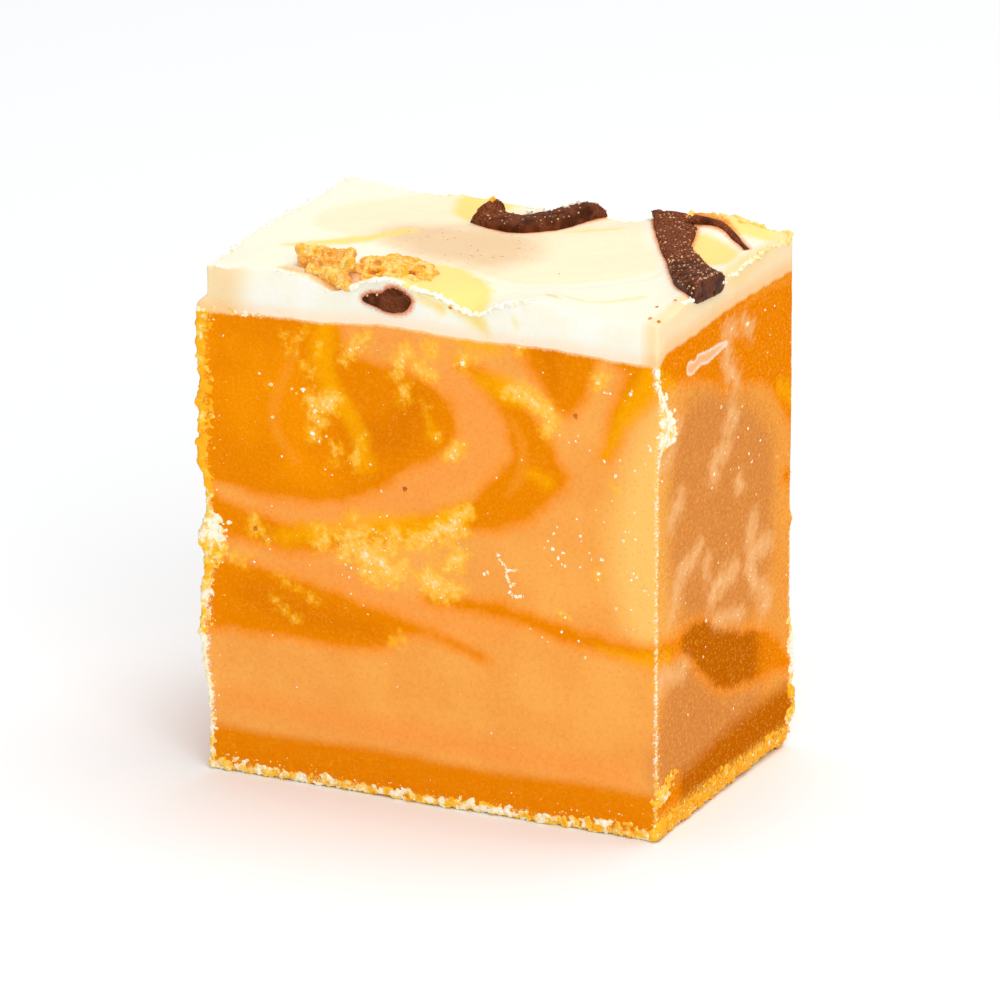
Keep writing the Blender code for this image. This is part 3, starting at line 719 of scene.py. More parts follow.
# %% Caramel recipe
def caramel_recipe(name):
    mat = Recipe(name)
    shake = mat.math("MULTIPLY_ADD", mat.noise(1.5, 4.0, 0.6), 1.3, -0.65)
    cloud = mat.noise(4.5, 2.0)
    fine = mat.noise(0.16, 2.0, 0.7)
    # the sides other than the front: the darker light caramel, frost and foot crust colours there are painted shade;
    # the streaky frost, coarser grain and extra specks there are pattern
    sides = mat.drawn("away_from_front")
    amber = mat.math("ADD", mat.drawn("amber"), shake)
    honey = mat.math("ADD", mat.drawn("honey"), mat.math("MULTIPLY", shake, 1.2))
    thin = mat.between(mat.drawn("thin"), -1.8, 1.5)
    thin = mat.math("MULTIPLY", thin, mat.between(cloud, 0.25, 0.6))

    light = mat.blend(mat.between(cloud, 0.3, 0.7), linear(244, 161, 74), linear(248, 171, 82))
    light = mat.blend(mat.math("MULTIPLY", mat.between(mat.drawn("warm"), -1.2, 1.0), 0.8), light,
                      linear(250, 156, 71))
    # painted light: the glow by the front's right edge
    light = mat.blend(mat.math("MULTIPLY", mat.between(mat.drawn("clear"), -2.2, 1.4), 0.9), light,
                      linear(253, 200, 108))
    # painted shade: the light caramel is darker on the sides than on the front
    light = mat.blend(mat.math("MULTIPLY", sides, 0.6), light, linear(240, 153, 60))
    tan = mat.math("ADD", mat.drawn("tan"), mat.math("MULTIPLY", shake, 2.0))
    light = mat.blend(mat.between(tan, -2.4, 1.3), light, linear(218, 137, 68))
    dark = mat.blend(mat.between(mat.math("ADD", mat.drawn("deep"), shake), -1.4, 1.2), linear(235, 132, 0),
                     linear(225, 122, 0))
    dark = mat.blend(mat.math("MULTIPLY", thin, 0.85), dark, linear(246, 145, 1))
    dark = mat.blend(mat.math("MULTIPLY", mat.between(mat.drawn("lens"), -0.6, 0.6), 0.9), dark,
                     linear(188, 94, 0))
    dark = mat.blend(mat.math("MULTIPLY", sides, mat.between(mat.drawn("lens"), 0.6, -0.6)), dark,
                     linear(238, 130, 0))
    colour = mat.blend(mat.between(amber, -0.45, 0.45), light, dark)
    fringe = mat.math("MULTIPLY", mat.between(amber, -1.0, -0.2), mat.between(amber, 0.6, 0.0))
    colour = mat.blend(mat.math("MULTIPLY", fringe, 0.4), colour, linear(252, 140, 26))
    base = mat.math("ADD", mat.drawn("base"), mat.math("MULTIPLY", shake, 0.3))
    colour = mat.blend(mat.between(base, -0.7, 0.5), colour, mat.blend(sides, linear(234, 132, 2), dark))
    pale = mat.math("ADD", mat.drawn("pale"), mat.math("MULTIPLY", shake, 0.4))
    colour = mat.blend(mat.math("MULTIPLY", mat.between(pale, -0.4, 0.4), 0.35), colour, linear(252, 160, 50))
    colour = mat.blend(mat.math("MULTIPLY", mat.between(honey, -0.7, 0.8), 0.65), colour, linear(254, 176, 4))

    # fine grain everywhere, and scattered pale specks
    grain = mat.noise(0.26, 3.0, 0.75, stretch=(1, 1.5, 1))
    strength = mat.math("MULTIPLY_ADD", sides, 0.22, 0.16)
    colour = mat.blend(mat.math("MULTIPLY", mat.between(grain, 0.5, 0.68), strength), colour, linear(200, 98, 4))
    colour = mat.blend(mat.math("MULTIPLY", mat.between(grain, 0.5, 0.32), strength), colour, linear(255, 190, 66))
    specks = mat.math("MULTIPLY", mat.between(mat.cells(0.42), 0.25, 0.12), mat.between(mat.noise(1.1, 2.0), 0.5, 0.62))
    colour = mat.blend(mat.math("MULTIPLY", specks, mat.math("MULTIPLY_ADD", sides, 0.25, 0.1)), colour,
                       linear(252, 206, 150))

    # sugar haze: on the front in lumps of about a millimetre, on the other sides in slanting streaks
    lump = mat.math("MULTIPLY_ADD", mat.noise(0.8, 3.0, 0.6), 2.4, -1.2)
    fluff = mat.math("MULTIPLY_ADD", mat.noise(0.34, 3.0, 0.62), 2.8, -1.4)
    streak = mat.math("MULTIPLY_ADD", mat.noise(0.8, 3.0, 0.6, stretch=(1, 1, 1.5), tilt=-49), 2.8, -1.4)
    broken = mat.math("MULTIPLY_ADD", mat.math("SUBTRACT", streak, lump), sides, lump)
    frost = mat.math("ADD", mat.drawn("frost"), broken)
    crisp = mat.math("ADD", frost, fluff)
    # painted shade: haze, milk and white are darker and duller on the sides
    haze = mat.blend(sides, linear(255, 188, 16), linear(242, 170, 90))
    milk = mat.blend(sides, linear(255, 204, 100), linear(250, 190, 132))
    white = mat.blend(sides, linear(255, 238, 204), linear(255, 218, 176))
    colour = mat.blend(mat.math("MULTIPLY", mat.between(frost, -0.9, 0.4), 0.65), colour, haze)
    softer = mat.math("MULTIPLY", sides, 0.8)
    milky = mat.between(crisp, mat.math("SUBTRACT", -0.5, softer), mat.math("ADD", 0.8, softer))
    colour = mat.blend(mat.math("MULTIPLY", milky, 0.75), colour, milk)
    colour = mat.blend(mat.math("MULTIPLY", mat.between(crisp, 0.5, mat.math("ADD", 1.7, softer)), 0.9), colour, white)

    # the white layer bleeds a little into the caramel at the seam
    bleed = mat.math("ADD", mat.drawn("below_seam"), mat.math("MULTIPLY_ADD", mat.noise(0.3, 4.0, 0.7), 0.5, -0.25))
    colour = mat.blend(mat.math("MULTIPLY", mat.between(bleed, 0.32, 0.02), 0.75), colour, linear(254, 214, 158))

    # the crumbly foot, the frosted upright edges and the smear
    crumb = mat.noise(0.3, 4.0, 0.75)
    foot = mat.math("ADD", mat.drawn("foot"), mat.math("MULTIPLY_ADD", crumb, 2.4, -1.2))
    crust = mat.blend(mat.between(crumb, 0.38, 0.6), linear(250, 168, 22), linear(254, 214, 120))
    # partly painted shade: the foot crust is darker and more golden on the sides
    crust = mat.blend(mat.math("MULTIPLY", sides, 0.7), crust, mat.blend(mat.between(crumb, 0.4, 0.6), linear(238, 150, 4),
                                                                          linear(250, 190, 60)))
    colour = mat.blend(mat.between(foot, mat.math("MULTIPLY_ADD", sides, -0.9, -0.1), 0.4), colour, crust)
    edge = mat.math("ADD", mat.drawn("edge"), mat.math("MULTIPLY_ADD", crumb, 2.0, -1.0))
    yellow = mat.blend(mat.between(crumb, 0.4, 0.6), linear(253, 176, 14), linear(255, 212, 90))
    chalky = mat.blend(mat.between(crumb, 0.35, 0.55), linear(254, 212, 130), linear(255, 246, 226))
    chalk = mat.between(mat.math("ADD", mat.drawn("chalk"), mat.math("MULTIPLY", lump, 0.4)), 0.3, 0.7)
    colour = mat.blend(mat.between(edge, -0.1, 0.3), colour, mat.blend(chalk, yellow, chalky))
    smear = mat.math("ADD", mat.drawn("smear"), mat.math("MULTIPLY_ADD", crumb, 0.7, -0.35))
    colour = mat.blend(mat.math("MULTIPLY", mat.between(smear, -0.16, 0.0), 0.85), colour, linear(255, 232, 205))
    colour = mat.blend(mat.between(smear, 0.02, 0.3), colour, linear(252, 184, 128))

    relief = mat.math("ADD", mat.math("MULTIPLY", fine, 0.4), mat.between(crisp, -0.4, 2.0))
    relief = mat.math("ADD", relief, mat.math("MULTIPLY", mat.between(edge, 0.0, 0.5), crumb))
    relief = mat.math("ADD", relief, mat.math("MULTIPLY", mat.between(smear, -0.2, 0.1), 0.5))
    mat.bump(mat.math("ADD", relief, mat.noise(0.9, 2.0)), 0.05)
    return mat.finish(colour, roughness=0.55, specular=0.0)


caramel = caramel_recipe("marbled_caramel")
toffee = caramel_recipe("toffee")
print("caramel recipes:", caramel.name, toffee.name)

# %% [markdown]
# ## Building the layers
# Each layer is a skin round the strip, closed below and above. The columns of points stand a quarter of
# a millimetre apart, which is fine enough for torn edges. `add_piece` turns points and faces
# into an object, stores the drawings on it, and hides the plain solid that it replaces, if any.

# %% From arrays to a piece
def add_piece(name, points, faces, material, replaced=(), drawings=None, crease=60):
    mesh = bpy.data.meshes.new(name)
    mesh.from_pydata((np.asarray(points) * MM).tolist(), [], faces)
    mesh.validate()
    mesh.shade_smooth()
    mesh.set_sharp_from_angle(angle=math.radians(crease))
    mesh.materials.append(material)
    for title, values in (drawings or {}).items():
        layer = mesh.attributes.new(title, "FLOAT", "POINT")
        layer.data.foreach_set("value", np.asarray(values, np.float32))
    piece = bpy.data.objects.new(name, mesh)
    bpy.context.scene.collection.objects.link(piece)
    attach(piece, "root")
    if replaced:
        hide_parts(*replaced)
    mesh.calc_loop_triangles()
    print(name, "has", len(mesh.vertices), "points and", len(mesh.loop_triangles), "triangles")
    return piece


def skin(rings):
    """Points and faces of a closed skin over rings of equal length, fanned shut at both ends."""
    count = len(rings[0])
    points = np.concatenate([*rings, [rings[0].mean(axis=0)], [rings[-1].mean(axis=0)]])
    faces = []
    for level in range(len(rings) - 1):
        start = level * count
        for i in range(count):
            after = (i + 1) % count
            faces.append((start + i, start + after, start + count + after, start + count + i))
    bottom, top, last = len(points) - 2, len(points) - 1, (len(rings) - 1) * count
    for i in range(count):
        after = (i + 1) % count
        faces.append((bottom, after, i))
        faces.append((top, last + i, last + after))
    return points, faces

# %% [markdown]
# The depth drawings are worked out for every point of a layer at once. The base has a drawing of its own: its
# depth below the base line, spread wider on the right side so that its edge is softer there. A part of the same depth
# also goes into the deep amber drawing.

# %% Crumbling along the upright edges
EDGES = (
    # place on the strip, then height, shift along the strip, width and whiteness
    (0.0, ((0, 0, 0.3, 0.3), (1.5, 0, 0.3, 0.6), (4, 0, 0.45, 0.9), (11, 0, 0.5, 0.9), (12, 0.1, 0.4, 0.5),
           (15.4, 0.2, 0.5, 0.9), (16.4, 0.2, 0.3, 0.5), (17.5, 0.4, 0.6, 0.3), (18.6, 0.6, 1.1, 0.4),
           (19.6, 0.6, 1.1, 0.75), (20.4, 0.4, 0.9, 0.75), (21.6, 0.3, 0.7, 0.9), (22.4, 0.1, 0.3, 0.6),
           (24, 0, 0.5, 0.3), (32, 0, 0.5, 0.25),
           (38, 0, 0.6, 0.3), (39.6, 0.2, 1.0, 0.4), (40.6, 0.3, 0.8, 0.7))),
    # the near upright edge: a thin white line of chipped sugar, partly a painted highlight along the edge
    (WIDTH, ((0, 0, 0.2, 0.4), (5, 0, 0.15, 0.45), (6, 0, 0.15, 0.9), (30, 0, 0.12, 1), (32.4, 0.2, 0.3, 1),
             (33.4, 1.1, 1.2, 1), (35.2, 1.4, 1.4, 1), (36.4, 0.8, 0.8, 1), (37.4, 0.4, 0.4, 1), (38.2, -0.1, 0.3, 1), (40, -0.2, 0.1, 1))),
    (WIDTH + DEPTH, ((0, 0, 0.3, 0.5), (4, 0, 0.5, 0.35), (6.4, 0, 0.5, 0.75), (9, 0, 0.4, 0.9), (20, 0, 0.2, 0.8), (40, 0, 0.0, 1))),
    (2 * WIDTH + DEPTH, ((0, 0, 0.4, 0.4), (12, 0, 0.5, 0.7), (26, 0, 0.4, 0.5), (40, 0, 0.1, 0.8))),
)


def edge_drawings(strip, z):
    """How deep each point lies in the crumbling edges, and how white they are there."""
    depth, chalk = np.full(len(strip), -3.0), np.full(len(strip), 0.5)
    for place, knots in EDGES:
        heights, *columns = np.transpose(knots)
        shift, width, white = [np.interp(z, heights, column) for column in columns]
        for turn in (-ROUND_TRIP, 0.0, ROUND_TRIP):
            here = width - np.abs(strip - place - turn - shift)
            chalk = np.where(here > depth, white, chalk)
            depth = np.maximum(depth, here)
    return depth, chalk


print("edge at the front left, 21 mm up:", edge_drawings(np.array([0.5]), np.array([21.0])))


# %% The marbled body and the toffee base
def side_drawings(strip, x, y, z):
    places = np.column_stack([strip, z])
    folds = deepest(places, AMBER, ROUND_TRIP)
    lowered = 0.5 * (x > HALF_WIDTH - 0.01) * ramp((y + HALF_DEPTH) / 8.0)
    base = base_line(x, y) - lowered - z
    edge, chalk = edge_drawings(strip, z)
    return {
        "amber": folds,
        "base": base / (1.0 + 0.8 * (x > HALF_WIDTH - 0.01)),
        "below_seam": white_line(x, y) - z,
        "honey": deepest(places, HONEY, ROUND_TRIP),
        "frost": np.where(z > base_line(x, y), deepest(places, FROST, ROUND_TRIP), -FAR),
        "thin": deepest(places, THIN, ROUND_TRIP),
        "warm": deepest(places, WARM, ROUND_TRIP),
        # painted light: the glow by the front's right edge
        "clear": deepest(places, PAINTED_EDGE_GLOW, ROUND_TRIP),
        "pale": deepest(places, PALE, ROUND_TRIP),
        "deep": np.maximum(deepest(places, DEEP, ROUND_TRIP), base / 1.7 - 0.3),
        "lens": (x > HALF_WIDTH - 0.01) * (z < 24) * 1.6 * ramp((y + 9.8) / 3.0) * (1 - 0.75 * (z > 6.3) * ramp((y - 3.0) / 6.0)) - 0.7,
        "tan": deepest(places, TAN, ROUND_TRIP),
        "smear": deepest(places, SMEAR, ROUND_TRIP),
        # marks the sides other than the front, for painted shade and streaky frost in the caramel recipe
        "away_from_front": (y > 0.01 - HALF_DEPTH) * 1.0,
        "foot": 0.75 + 0.9 * (x > HALF_WIDTH - 0.01) - z,
        "edge": edge,
        "chalk": chalk,
    }


def build_layer(name, bottom, top, spacing, material):
    """A layer of caramel between two heights, given along the walk round the block."""
    levels = max(2, int(np.ceil((top - bottom).max() / spacing)))
    flat_x, flat_y = outline(walk)
    rings = []
    for level in range(levels + 1):
        z = bottom + (top - bottom) * level / levels
        x, y = side_place(flat_x, flat_y, z)
        rings.append(np.column_stack([x, y, z]))
    points, faces = skin(rings)
    repeat = levels + 1
    drawings = side_drawings(np.tile(walk, repeat), np.tile(flat_x, repeat), np.tile(flat_y, repeat),
                             points[:-2, 2])
    drawings = {key: np.append(values, [-1.0, -1.0]) for key, values in drawings.items()}
    return add_piece(name, points, faces, material, [name], drawings)


walk_x, walk_y = outline(walk)
seam = base_line(walk_x, walk_y)
build_layer("caramel_body", seam, white_line(walk_x, walk_y), 0.205, caramel)
build_layer("toffee_base", np.zeros_like(seam), seam, 0.18, toffee)

# %% [markdown]
# ## The white layer
# The top of the block was poured, not cut: it rises and sinks in soft swells, and it is cut through at
# its edges. We lay a square grid over the top so that its border points fall on the columns of the
# sides, and join the two.

# %% Swells of the top
TOP_SWELLS = (
    # X, Y, spread in X, spread in Y, height
    (-20.0, -12.7, 2.6, 6.0, -0.4), (-8.4, -13.2, 1.6, 1.8, -1.0), (-3.6, -12.9, 2.2, 2.4, 0.75),
    (3.7, -13.2, 2.0, 2.2, -1.25), (9.8, -12.2, 3.4, 3.6, 0.8), (20.0, -6.0, 2.4, 4.2, 0.65),
    (20.0, 6.0, 2.4, 5.0, 0.6), (13.8, 13.6, 5.2, 2.2, 1.5), (-13.0, 9.0, 7.0, 7.0, -0.6),
    (-2.5, 12.7, 2.6, 3.0, -0.5), (5.2, 13.0, 2.2, 3.0, -0.5),
)
SWIRL = ((-0.8, -5.4, 1.6), (2.9, -7.2, 1.9), (5.3, -7.6, 2.0), (7.8, -6.6, 2.0), (10, -4.9, 1.9),
         (12, -2.8, 1.7), (13.6, -0.7, 1.4), (13.5, 1.6, 1.0))


def top_line(x, y):
    """Height of the white top without its fine grain."""
    height = np.full(np.broadcast(x, y).shape, WHITE_TOP)
    for at_x, at_y, wide, deep, rise in TOP_SWELLS:
        height = height + rise * bell(x - at_x, wide) * bell(y - at_y, deep)
    return height


def top_height(x, y):
    """Height of the white top with its grain, the spatula's groove and the crumbled rim."""
    rim = np.minimum(HALF_WIDTH - np.abs(x), HALF_DEPTH - np.abs(y))
    height = top_line(x, y) + 0.10 * rough(x, y, 0.0, 4.0, seed=21) + 0.03 * rough(x, y, 0.0, 0.7, seed=25)
    groove = depth_in_stroke(np.column_stack([np.ravel(x), np.ravel(y)]), SWIRL).reshape(np.shape(x))
    height -= 0.10 * ramp(groove / 0.8 + 0.6)
    height += bell(rim, 0.45) * (0.22 * rough(x, y, 0.0, 1.0, seed=31) - 0.06)
    back = bell(y - HALF_DEPTH, 0.8) + bell(x - HALF_WIDTH, 0.5) * ramp((y + 2.0) / 4.0)
    height += back * 0.22 * rough(x, y, 0.0, 0.8, seed=35)
    return np.minimum(height, LIMIT_HIGH[2])


print("top between", top_line(3.7, -12.75).round(1), "and", top_line(13.8, 12.75).round(1), "mm")

# %% Stains and shades of the white layer
STAINS_TOP = [
    ("pool", [(-5.5, -7.5), (-2.5, -5.6), (0.8, -6.4), (3.5, -9), (5.0, -12.2), (4.4, -15), (-2, -15),
              (-4.5, -11)]),
    ("pool", [(-9.5, 13.5), (-8.6, 9), (-7.2, 6.9), (-5.6, 6.3), (-4.6, 9), (-4.8, 13.5)]),
    ("pool", [(12.6, 10.4), (13.4, 7.0), (15.2, 4.0), (18.4, 3.6), (18.0, 7.0), (15.4, 9.6)]),
    ("stroke", [(11, 12.6, 1.4), (15.6, 12.2, 2.4), (20.4, 11.4, 2.4)]),
    ("stroke", [(19.4, 0, 0.8), (19.6, 6, 1.4)]),
    ("stroke", [(10.4, -10.2, 0.2), (13, -9.6, 0.5), (15.6, -6.4, 0.3)]),
    ("stroke", [(3, 6.6, 0.4), (5, 8.4, 0.5), (6.2, 9.8, 0.3)]),
    ("stroke", [(-16, -6, 1), (-12, -3, 2), (-9, 2, 1)]),
]
STAINS_SIDE = [
    on_side("front", "stroke", (2.0, 42.6, 1.0), (4.2, 41.4, 1.6), (5.0, 40.4, 1.0)),
    on_side("front", "stroke", (-1.0, 43, 1.0), (1, 42.2, 0.8)),
    on_side("front", "stroke", (7.4, 42.0, 0.3), (7.6, 41.6, 0.5)),
    on_side("right", "stroke", (0.6, 43.0, 0.9), (3, 42.8, 1.2), (7, 43.3, 0.9), (11, 43.7, 0.5)),
    on_side("back", "stroke", (10, 42, 0.8), (6, 42.4, 1.2)),
    on_side("left", "stroke", (2, 42, 1), (-3, 41.6, 1.4)),
]
BEIGE_TOP = [("pool", [(-10, -2.5), (-4, -4.6), (2, -6.8), (5.4, -7.4), (8, -6.2), (11, -3.6), (13.2, -0.4),
                       (13.0, 3), (10, 7), (7, 12), (3, 15), (-8, 15), (-17, 8), (-17, 0)])]
# a darker, browner patch in the middle of the top: partly painted shade, with real brown specks in it
SHADED_TOP_PATCH = [("pool", [(-10, -1), (-5, -4.2), (-1, -5), (2.4, -4), (3.0, 0.6), (0.6, 4.2), (-4, 4.6), (-10, 3)])]
CARAMEL_TOP = [
    ("stroke", [(-13.6, -11.6, 0.6), (-9.4, -12.2, 1.0), (-7.0, -11.8, 0.8)]),
    ("pool", [(-8.0, -10.8), (-6.2, -11.2), (-3.2, -10.2), (-2.0, -8.0), (-4.0, -6.4), (-7.6, -7.0)]),
    ("stroke", [(9.6, -10.6, 0.4), (10.4, -11.2, 0.3)]),
]

# %% White fudge recipe
def white_recipe():
    mat = Recipe("white_fudge")
    shake = mat.math("MULTIPLY_ADD", mat.noise(2.2, 3.0, 0.6), 2.6, -1.3)
    fine = mat.noise(0.22, 4.0, 0.75)
    colour = mat.blend(mat.between(mat.noise(3.0, 3.0), 0.35, 0.65), linear(255, 252, 238), linear(254, 247, 226))
    # painted shade: the top gets a darker cream than the cut sides, so that it is less bright under the light from
    # above
    painted_top_shade = mat.between(mat.drawn("above_seam"), 3.45, 3.5)
    colour = mat.blend(painted_top_shade, colour, linear(252, 240, 216))
    beige = mat.between(mat.math("ADD", mat.drawn("beige"), mat.math("MULTIPLY", shake, 0.3)), -0.4, 0.8)
    colour = mat.blend(beige, colour, linear(252, 234, 198))
    # partly painted shade: the darker, browner patch of the top
    dusk = mat.between(mat.math("ADD", mat.drawn("dusk"), shake), -2.4, 2.2)
    colour = mat.blend(mat.math("MULTIPLY", dusk, 0.9), colour, linear(232, 196, 152))
    rim = mat.math("MULTIPLY", mat.between(mat.drawn("groove"), -0.5, 0.1), mat.between(mat.drawn("groove"), 0.6, 0.1))
    colour = mat.blend(mat.math("MULTIPLY", rim, 0.12), colour, linear(240, 206, 160))
    stain = mat.math("ADD", mat.drawn("stain"), mat.math("MULTIPLY", shake, 0.5))
    colour = mat.blend(mat.math("MULTIPLY", mat.between(stain, -0.5, 0.7), 0.85), colour, linear(253, 219, 112))
    tint = mat.math("ADD", mat.drawn("tint"), mat.math("MULTIPLY", shake, 0.5))
    tint = mat.math("ADD", tint, mat.math("MULTIPLY_ADD", fine, 2.0, -1.0))
    colour = mat.blend(mat.math("MULTIPLY", mat.between(tint, -0.6, 0.6), 0.8), colour, linear(250, 172, 70))

    # the caramel colours the lowest millimetre
    near = mat.math("ADD", mat.drawn("above_seam"), mat.math("MULTIPLY_ADD", fine, 0.5, -0.25))
    # painted light: the cut sides are warmer and more peach near the right side, a painted glow through the fudge, and
    # at the left end, a painted warm shade
    warmed = mat.between(mat.drawn("warmed"), 0.0, 2.5)
    colour = mat.blend(mat.math("MULTIPLY", warmed, 0.8), colour, linear(255, 216, 158))
    low = mat.blend(warmed, linear(255, 230, 198), linear(255, 200, 134))
    colour = mat.blend(mat.math("MULTIPLY", mat.between(near, 1.5, 0.0), 0.85), colour, low)

    # brown specks, most of them in the darker patch of the top, which is partly painted shade, and a few elsewhere
    speck = mat.between(mat.cells(0.5), 0.24, 0.12)
    few = mat.math("MULTIPLY", mat.between(mat.noise(0.7, 1.0), 0.5, 0.62), mat.math("ADD", dusk, 0.08))
    colour = mat.blend(mat.math("MULTIPLY", speck, few), colour, linear(196, 126, 66))
    halo = mat.between(mat.math("ADD", mat.drawn("halo"), mat.math("MULTIPLY_ADD", fine, 0.8, -0.4)), -0.45, 0.1)
    colour = mat.blend(mat.math("MULTIPLY", halo, 0.85), colour, linear(234, 118, 12))
    relief = mat.math("ADD", fine, mat.noise(1.1, 2.0))
    mat.bump(relief, 0.06)
    glow = mat.math("MULTIPLY", mat.between(mat.drawn("above_seam"), 0.1, 1.4), mat.between(halo, 0.4, 0.1))
    glow = mat.math("MULTIPLY", glow, 0.4)
    return mat.finish(colour, roughness=0.55, specular=0.12, glow=glow, glow_reach=(1.6, 1.5, 1.4))


white_fudge = white_recipe()
print("white fudge mixed")

# %% [markdown]
# The chocolate was drizzled on while the white fudge was soft, so it lies half sunk in it. We need
# the drizzle's path now, because the white fudge is drawn back where a stroke is cut through at a side,
# and the chocolate stains the rim round itself.

# %% Paths of the drizzle
CRESCENT = (
    # X, Y, width and rise above the top
    (-7.6, 9.5, 2.4, 2.0), (-6.3, 8.0, 2.8, 2.0), (-4.1, 6.65, 3.0, 1.7), (-3.4, 6.35, 2.9, 0.95),
    (-2.6, 6.1, 2.9, 0.85), (-0.9, 6.0, 2.9, 0.9), (0.9, 7.6, 2.8, 1.05), (2.1, 10.2, 2.0, 1.25),
    (2.8, 11.8, 1.1, 1.1), (3.4, 12.9, 0.3, 0.3),
)
BAND = (
    (8.8, 15.0, 4.4, 0.1), (11.0, 9.8, 3.3, 0.5), (12.7, 6.2, 2.5, 0.7), (15.1, 2.8, 2.8, 0.85),
    (17.8, -0.9, 3.7, 1.0), (20.2, -3.6, 4.2, 1.15), (22.6, -6.0, 4.6, 1.15),
)
TAIL = ((11.4, 12.0, 1.6, 0.35), (13.0, 11.9, 1.0, 0.3), (14.4, 11.6, 0.75, 0.25), (15.8, 10.6, 0.6, 0.2),
        (17.2, 9.1, 0.5, 0.2), (18.2, 7.8, 0.4, 0.15))
CHIP_OUTLINE = ((-6.0, 41.9), (-5.4, 42.4), (-4.4, 42.6), (-3.6, 43.2), (-2.6, 43.1), (-1.7, 42.5),
                (-1.8, 41.9), (-2.2, 41.4), (-3.4, 41.15), (-4.9, 41.5))
DRIZZLE = [("stroke", [knot[:3] for knot in path]) for path in (CRESCENT[3:], BAND, TAIL)]
print(len(DRIZZLE), "strokes of drizzle and a chip")

# %% The white layer
def white_drawings(strip, x, y, z, on_top):
    top_places, side_places = np.column_stack([x, y]), np.column_stack([strip, z])
    chip = depth_in_pool(side_places, [(UNROLL["front"](u), v) for u, v in CHIP_OUTLINE])
    groove = deepest(top_places, [("stroke", SWIRL)])
    away = np.full(len(x), -FAR)
    return {
        "stain": np.where(on_top, deepest(top_places, STAINS_TOP), deepest(side_places, STAINS_SIDE, ROUND_TRIP)),
        "beige": np.where(on_top, deepest(top_places, BEIGE_TOP), -1.0),
        # the darker patch of the top, partly painted shade
        "dusk": np.where(on_top, deepest(top_places, SHADED_TOP_PATCH), away),
        "groove": np.where(on_top, groove, away),
        "tint": np.where(on_top, deepest(top_places, CARAMEL_TOP), away),
        "halo": np.where(on_top, deepest(top_places, DRIZZLE), chip + 0.1),
        # the top gets 3.5, which the recipe also uses for the top's painted shade
        "above_seam": np.where(on_top, 3.5, np.minimum(z - white_line(x, y), 3.4)),
        # painted warmth on the right side and at the left end of the sides
        "warmed": 3.0 * (x > HALF_WIDTH - 1.6) * (1.0 - 0.7 * ramp((HALF_WIDTH - x) / 1.6))
                  + 3.0 * np.where(on_top, 0.0, ramp((-14.0 - x) / 6.0)),
    }


def top_sheet(columns, lines, border):
    """Points inside a grid over the top, and faces that use border as the grid's outermost points."""
    index = -np.ones((len(columns), len(lines)), int)
    last_i, last_j = len(columns) - 1, len(lines) - 1
    ring = [(i, 0) for i in range(last_i)] + [(last_i, j) for j in range(last_j)]
    ring += [(i, last_j) for i in range(last_i, 0, -1)] + [(0, j) for j in range(last_j, 0, -1)]
    for point, cell in zip(border, ring):
        index[cell] = point
    inner = [(i, j) for i in range(1, last_i) for j in range(1, last_j)]
    for count, cell in enumerate(inner):
        index[cell] = border[-1] + 1 + count
    index = index.tolist()
    faces = [(index[i][j], index[i + 1][j], index[i + 1][j + 1], index[i][j + 1])
             for i in range(last_i) for j in range(last_j)]
    places = np.array([(columns[i], lines[j]) for i, j in inner])
    return places, faces


def build_white_layer(rows=20, fine=0.1, coarse=0.21):
    round_walk = walk_round(fine, coarse)
    flat_x, flat_y = outline(round_walk)
    bottom, top = white_line(flat_x, flat_y), top_height(flat_x, flat_y)
    rings = []
    for level in range(rows + 1):
        z = bottom + (top - bottom) * level / rows
        x, y = side_place(flat_x, flat_y, z)
        rings.append(np.column_stack([x, y, z]))
    ring = len(round_walk)
    last = rows * ring
    columns = graded(WIDTH, fine, coarse) - HALF_WIDTH
    lines = graded(DEPTH, fine, coarse) - HALF_DEPTH
    inner, sheet = top_sheet(columns, lines, list(range(last, last + ring)))
    inner_top = np.column_stack([inner, top_height(*inner.T)])
    points = np.concatenate([*rings, inner_top, [rings[0].mean(axis=0)]])
    faces = [(start + i, start + (i + 1) % ring, start + ring + (i + 1) % ring, start + ring + i)
             for start in range(0, last, ring) for i in range(ring)]
    underside = len(points) - 1
    faces += sheet + [(underside, (i + 1) % ring, i) for i in range(ring)]

    strip = np.concatenate([np.tile(round_walk, rows + 1), np.zeros(len(inner) + 1)])
    x = np.concatenate([np.tile(flat_x, rows + 1), inner[:, 0], [0.0]])
    y = np.concatenate([np.tile(flat_y, rows + 1), inner[:, 1], [0.0]])
    drawings = white_drawings(strip, x, y, points[:, 2], np.arange(len(points)) >= last)
    return add_piece("white_layer", points, faces, white_fudge, ["white_layer"], drawings)


build_white_layer()

# %% [markdown]
# ## Chocolate
# A stroke of drizzle is a flat rope: rounded edges, an almost level top. We sweep a squarish section
# along the path, cut it with the block's faces, and turn the result into small even cells with the
# Remesh modifier, so that the cut ends get points of their own. Then every point moves a little along
# its normal, which gives the dull, grainy surface of chocolate that has been cut through.

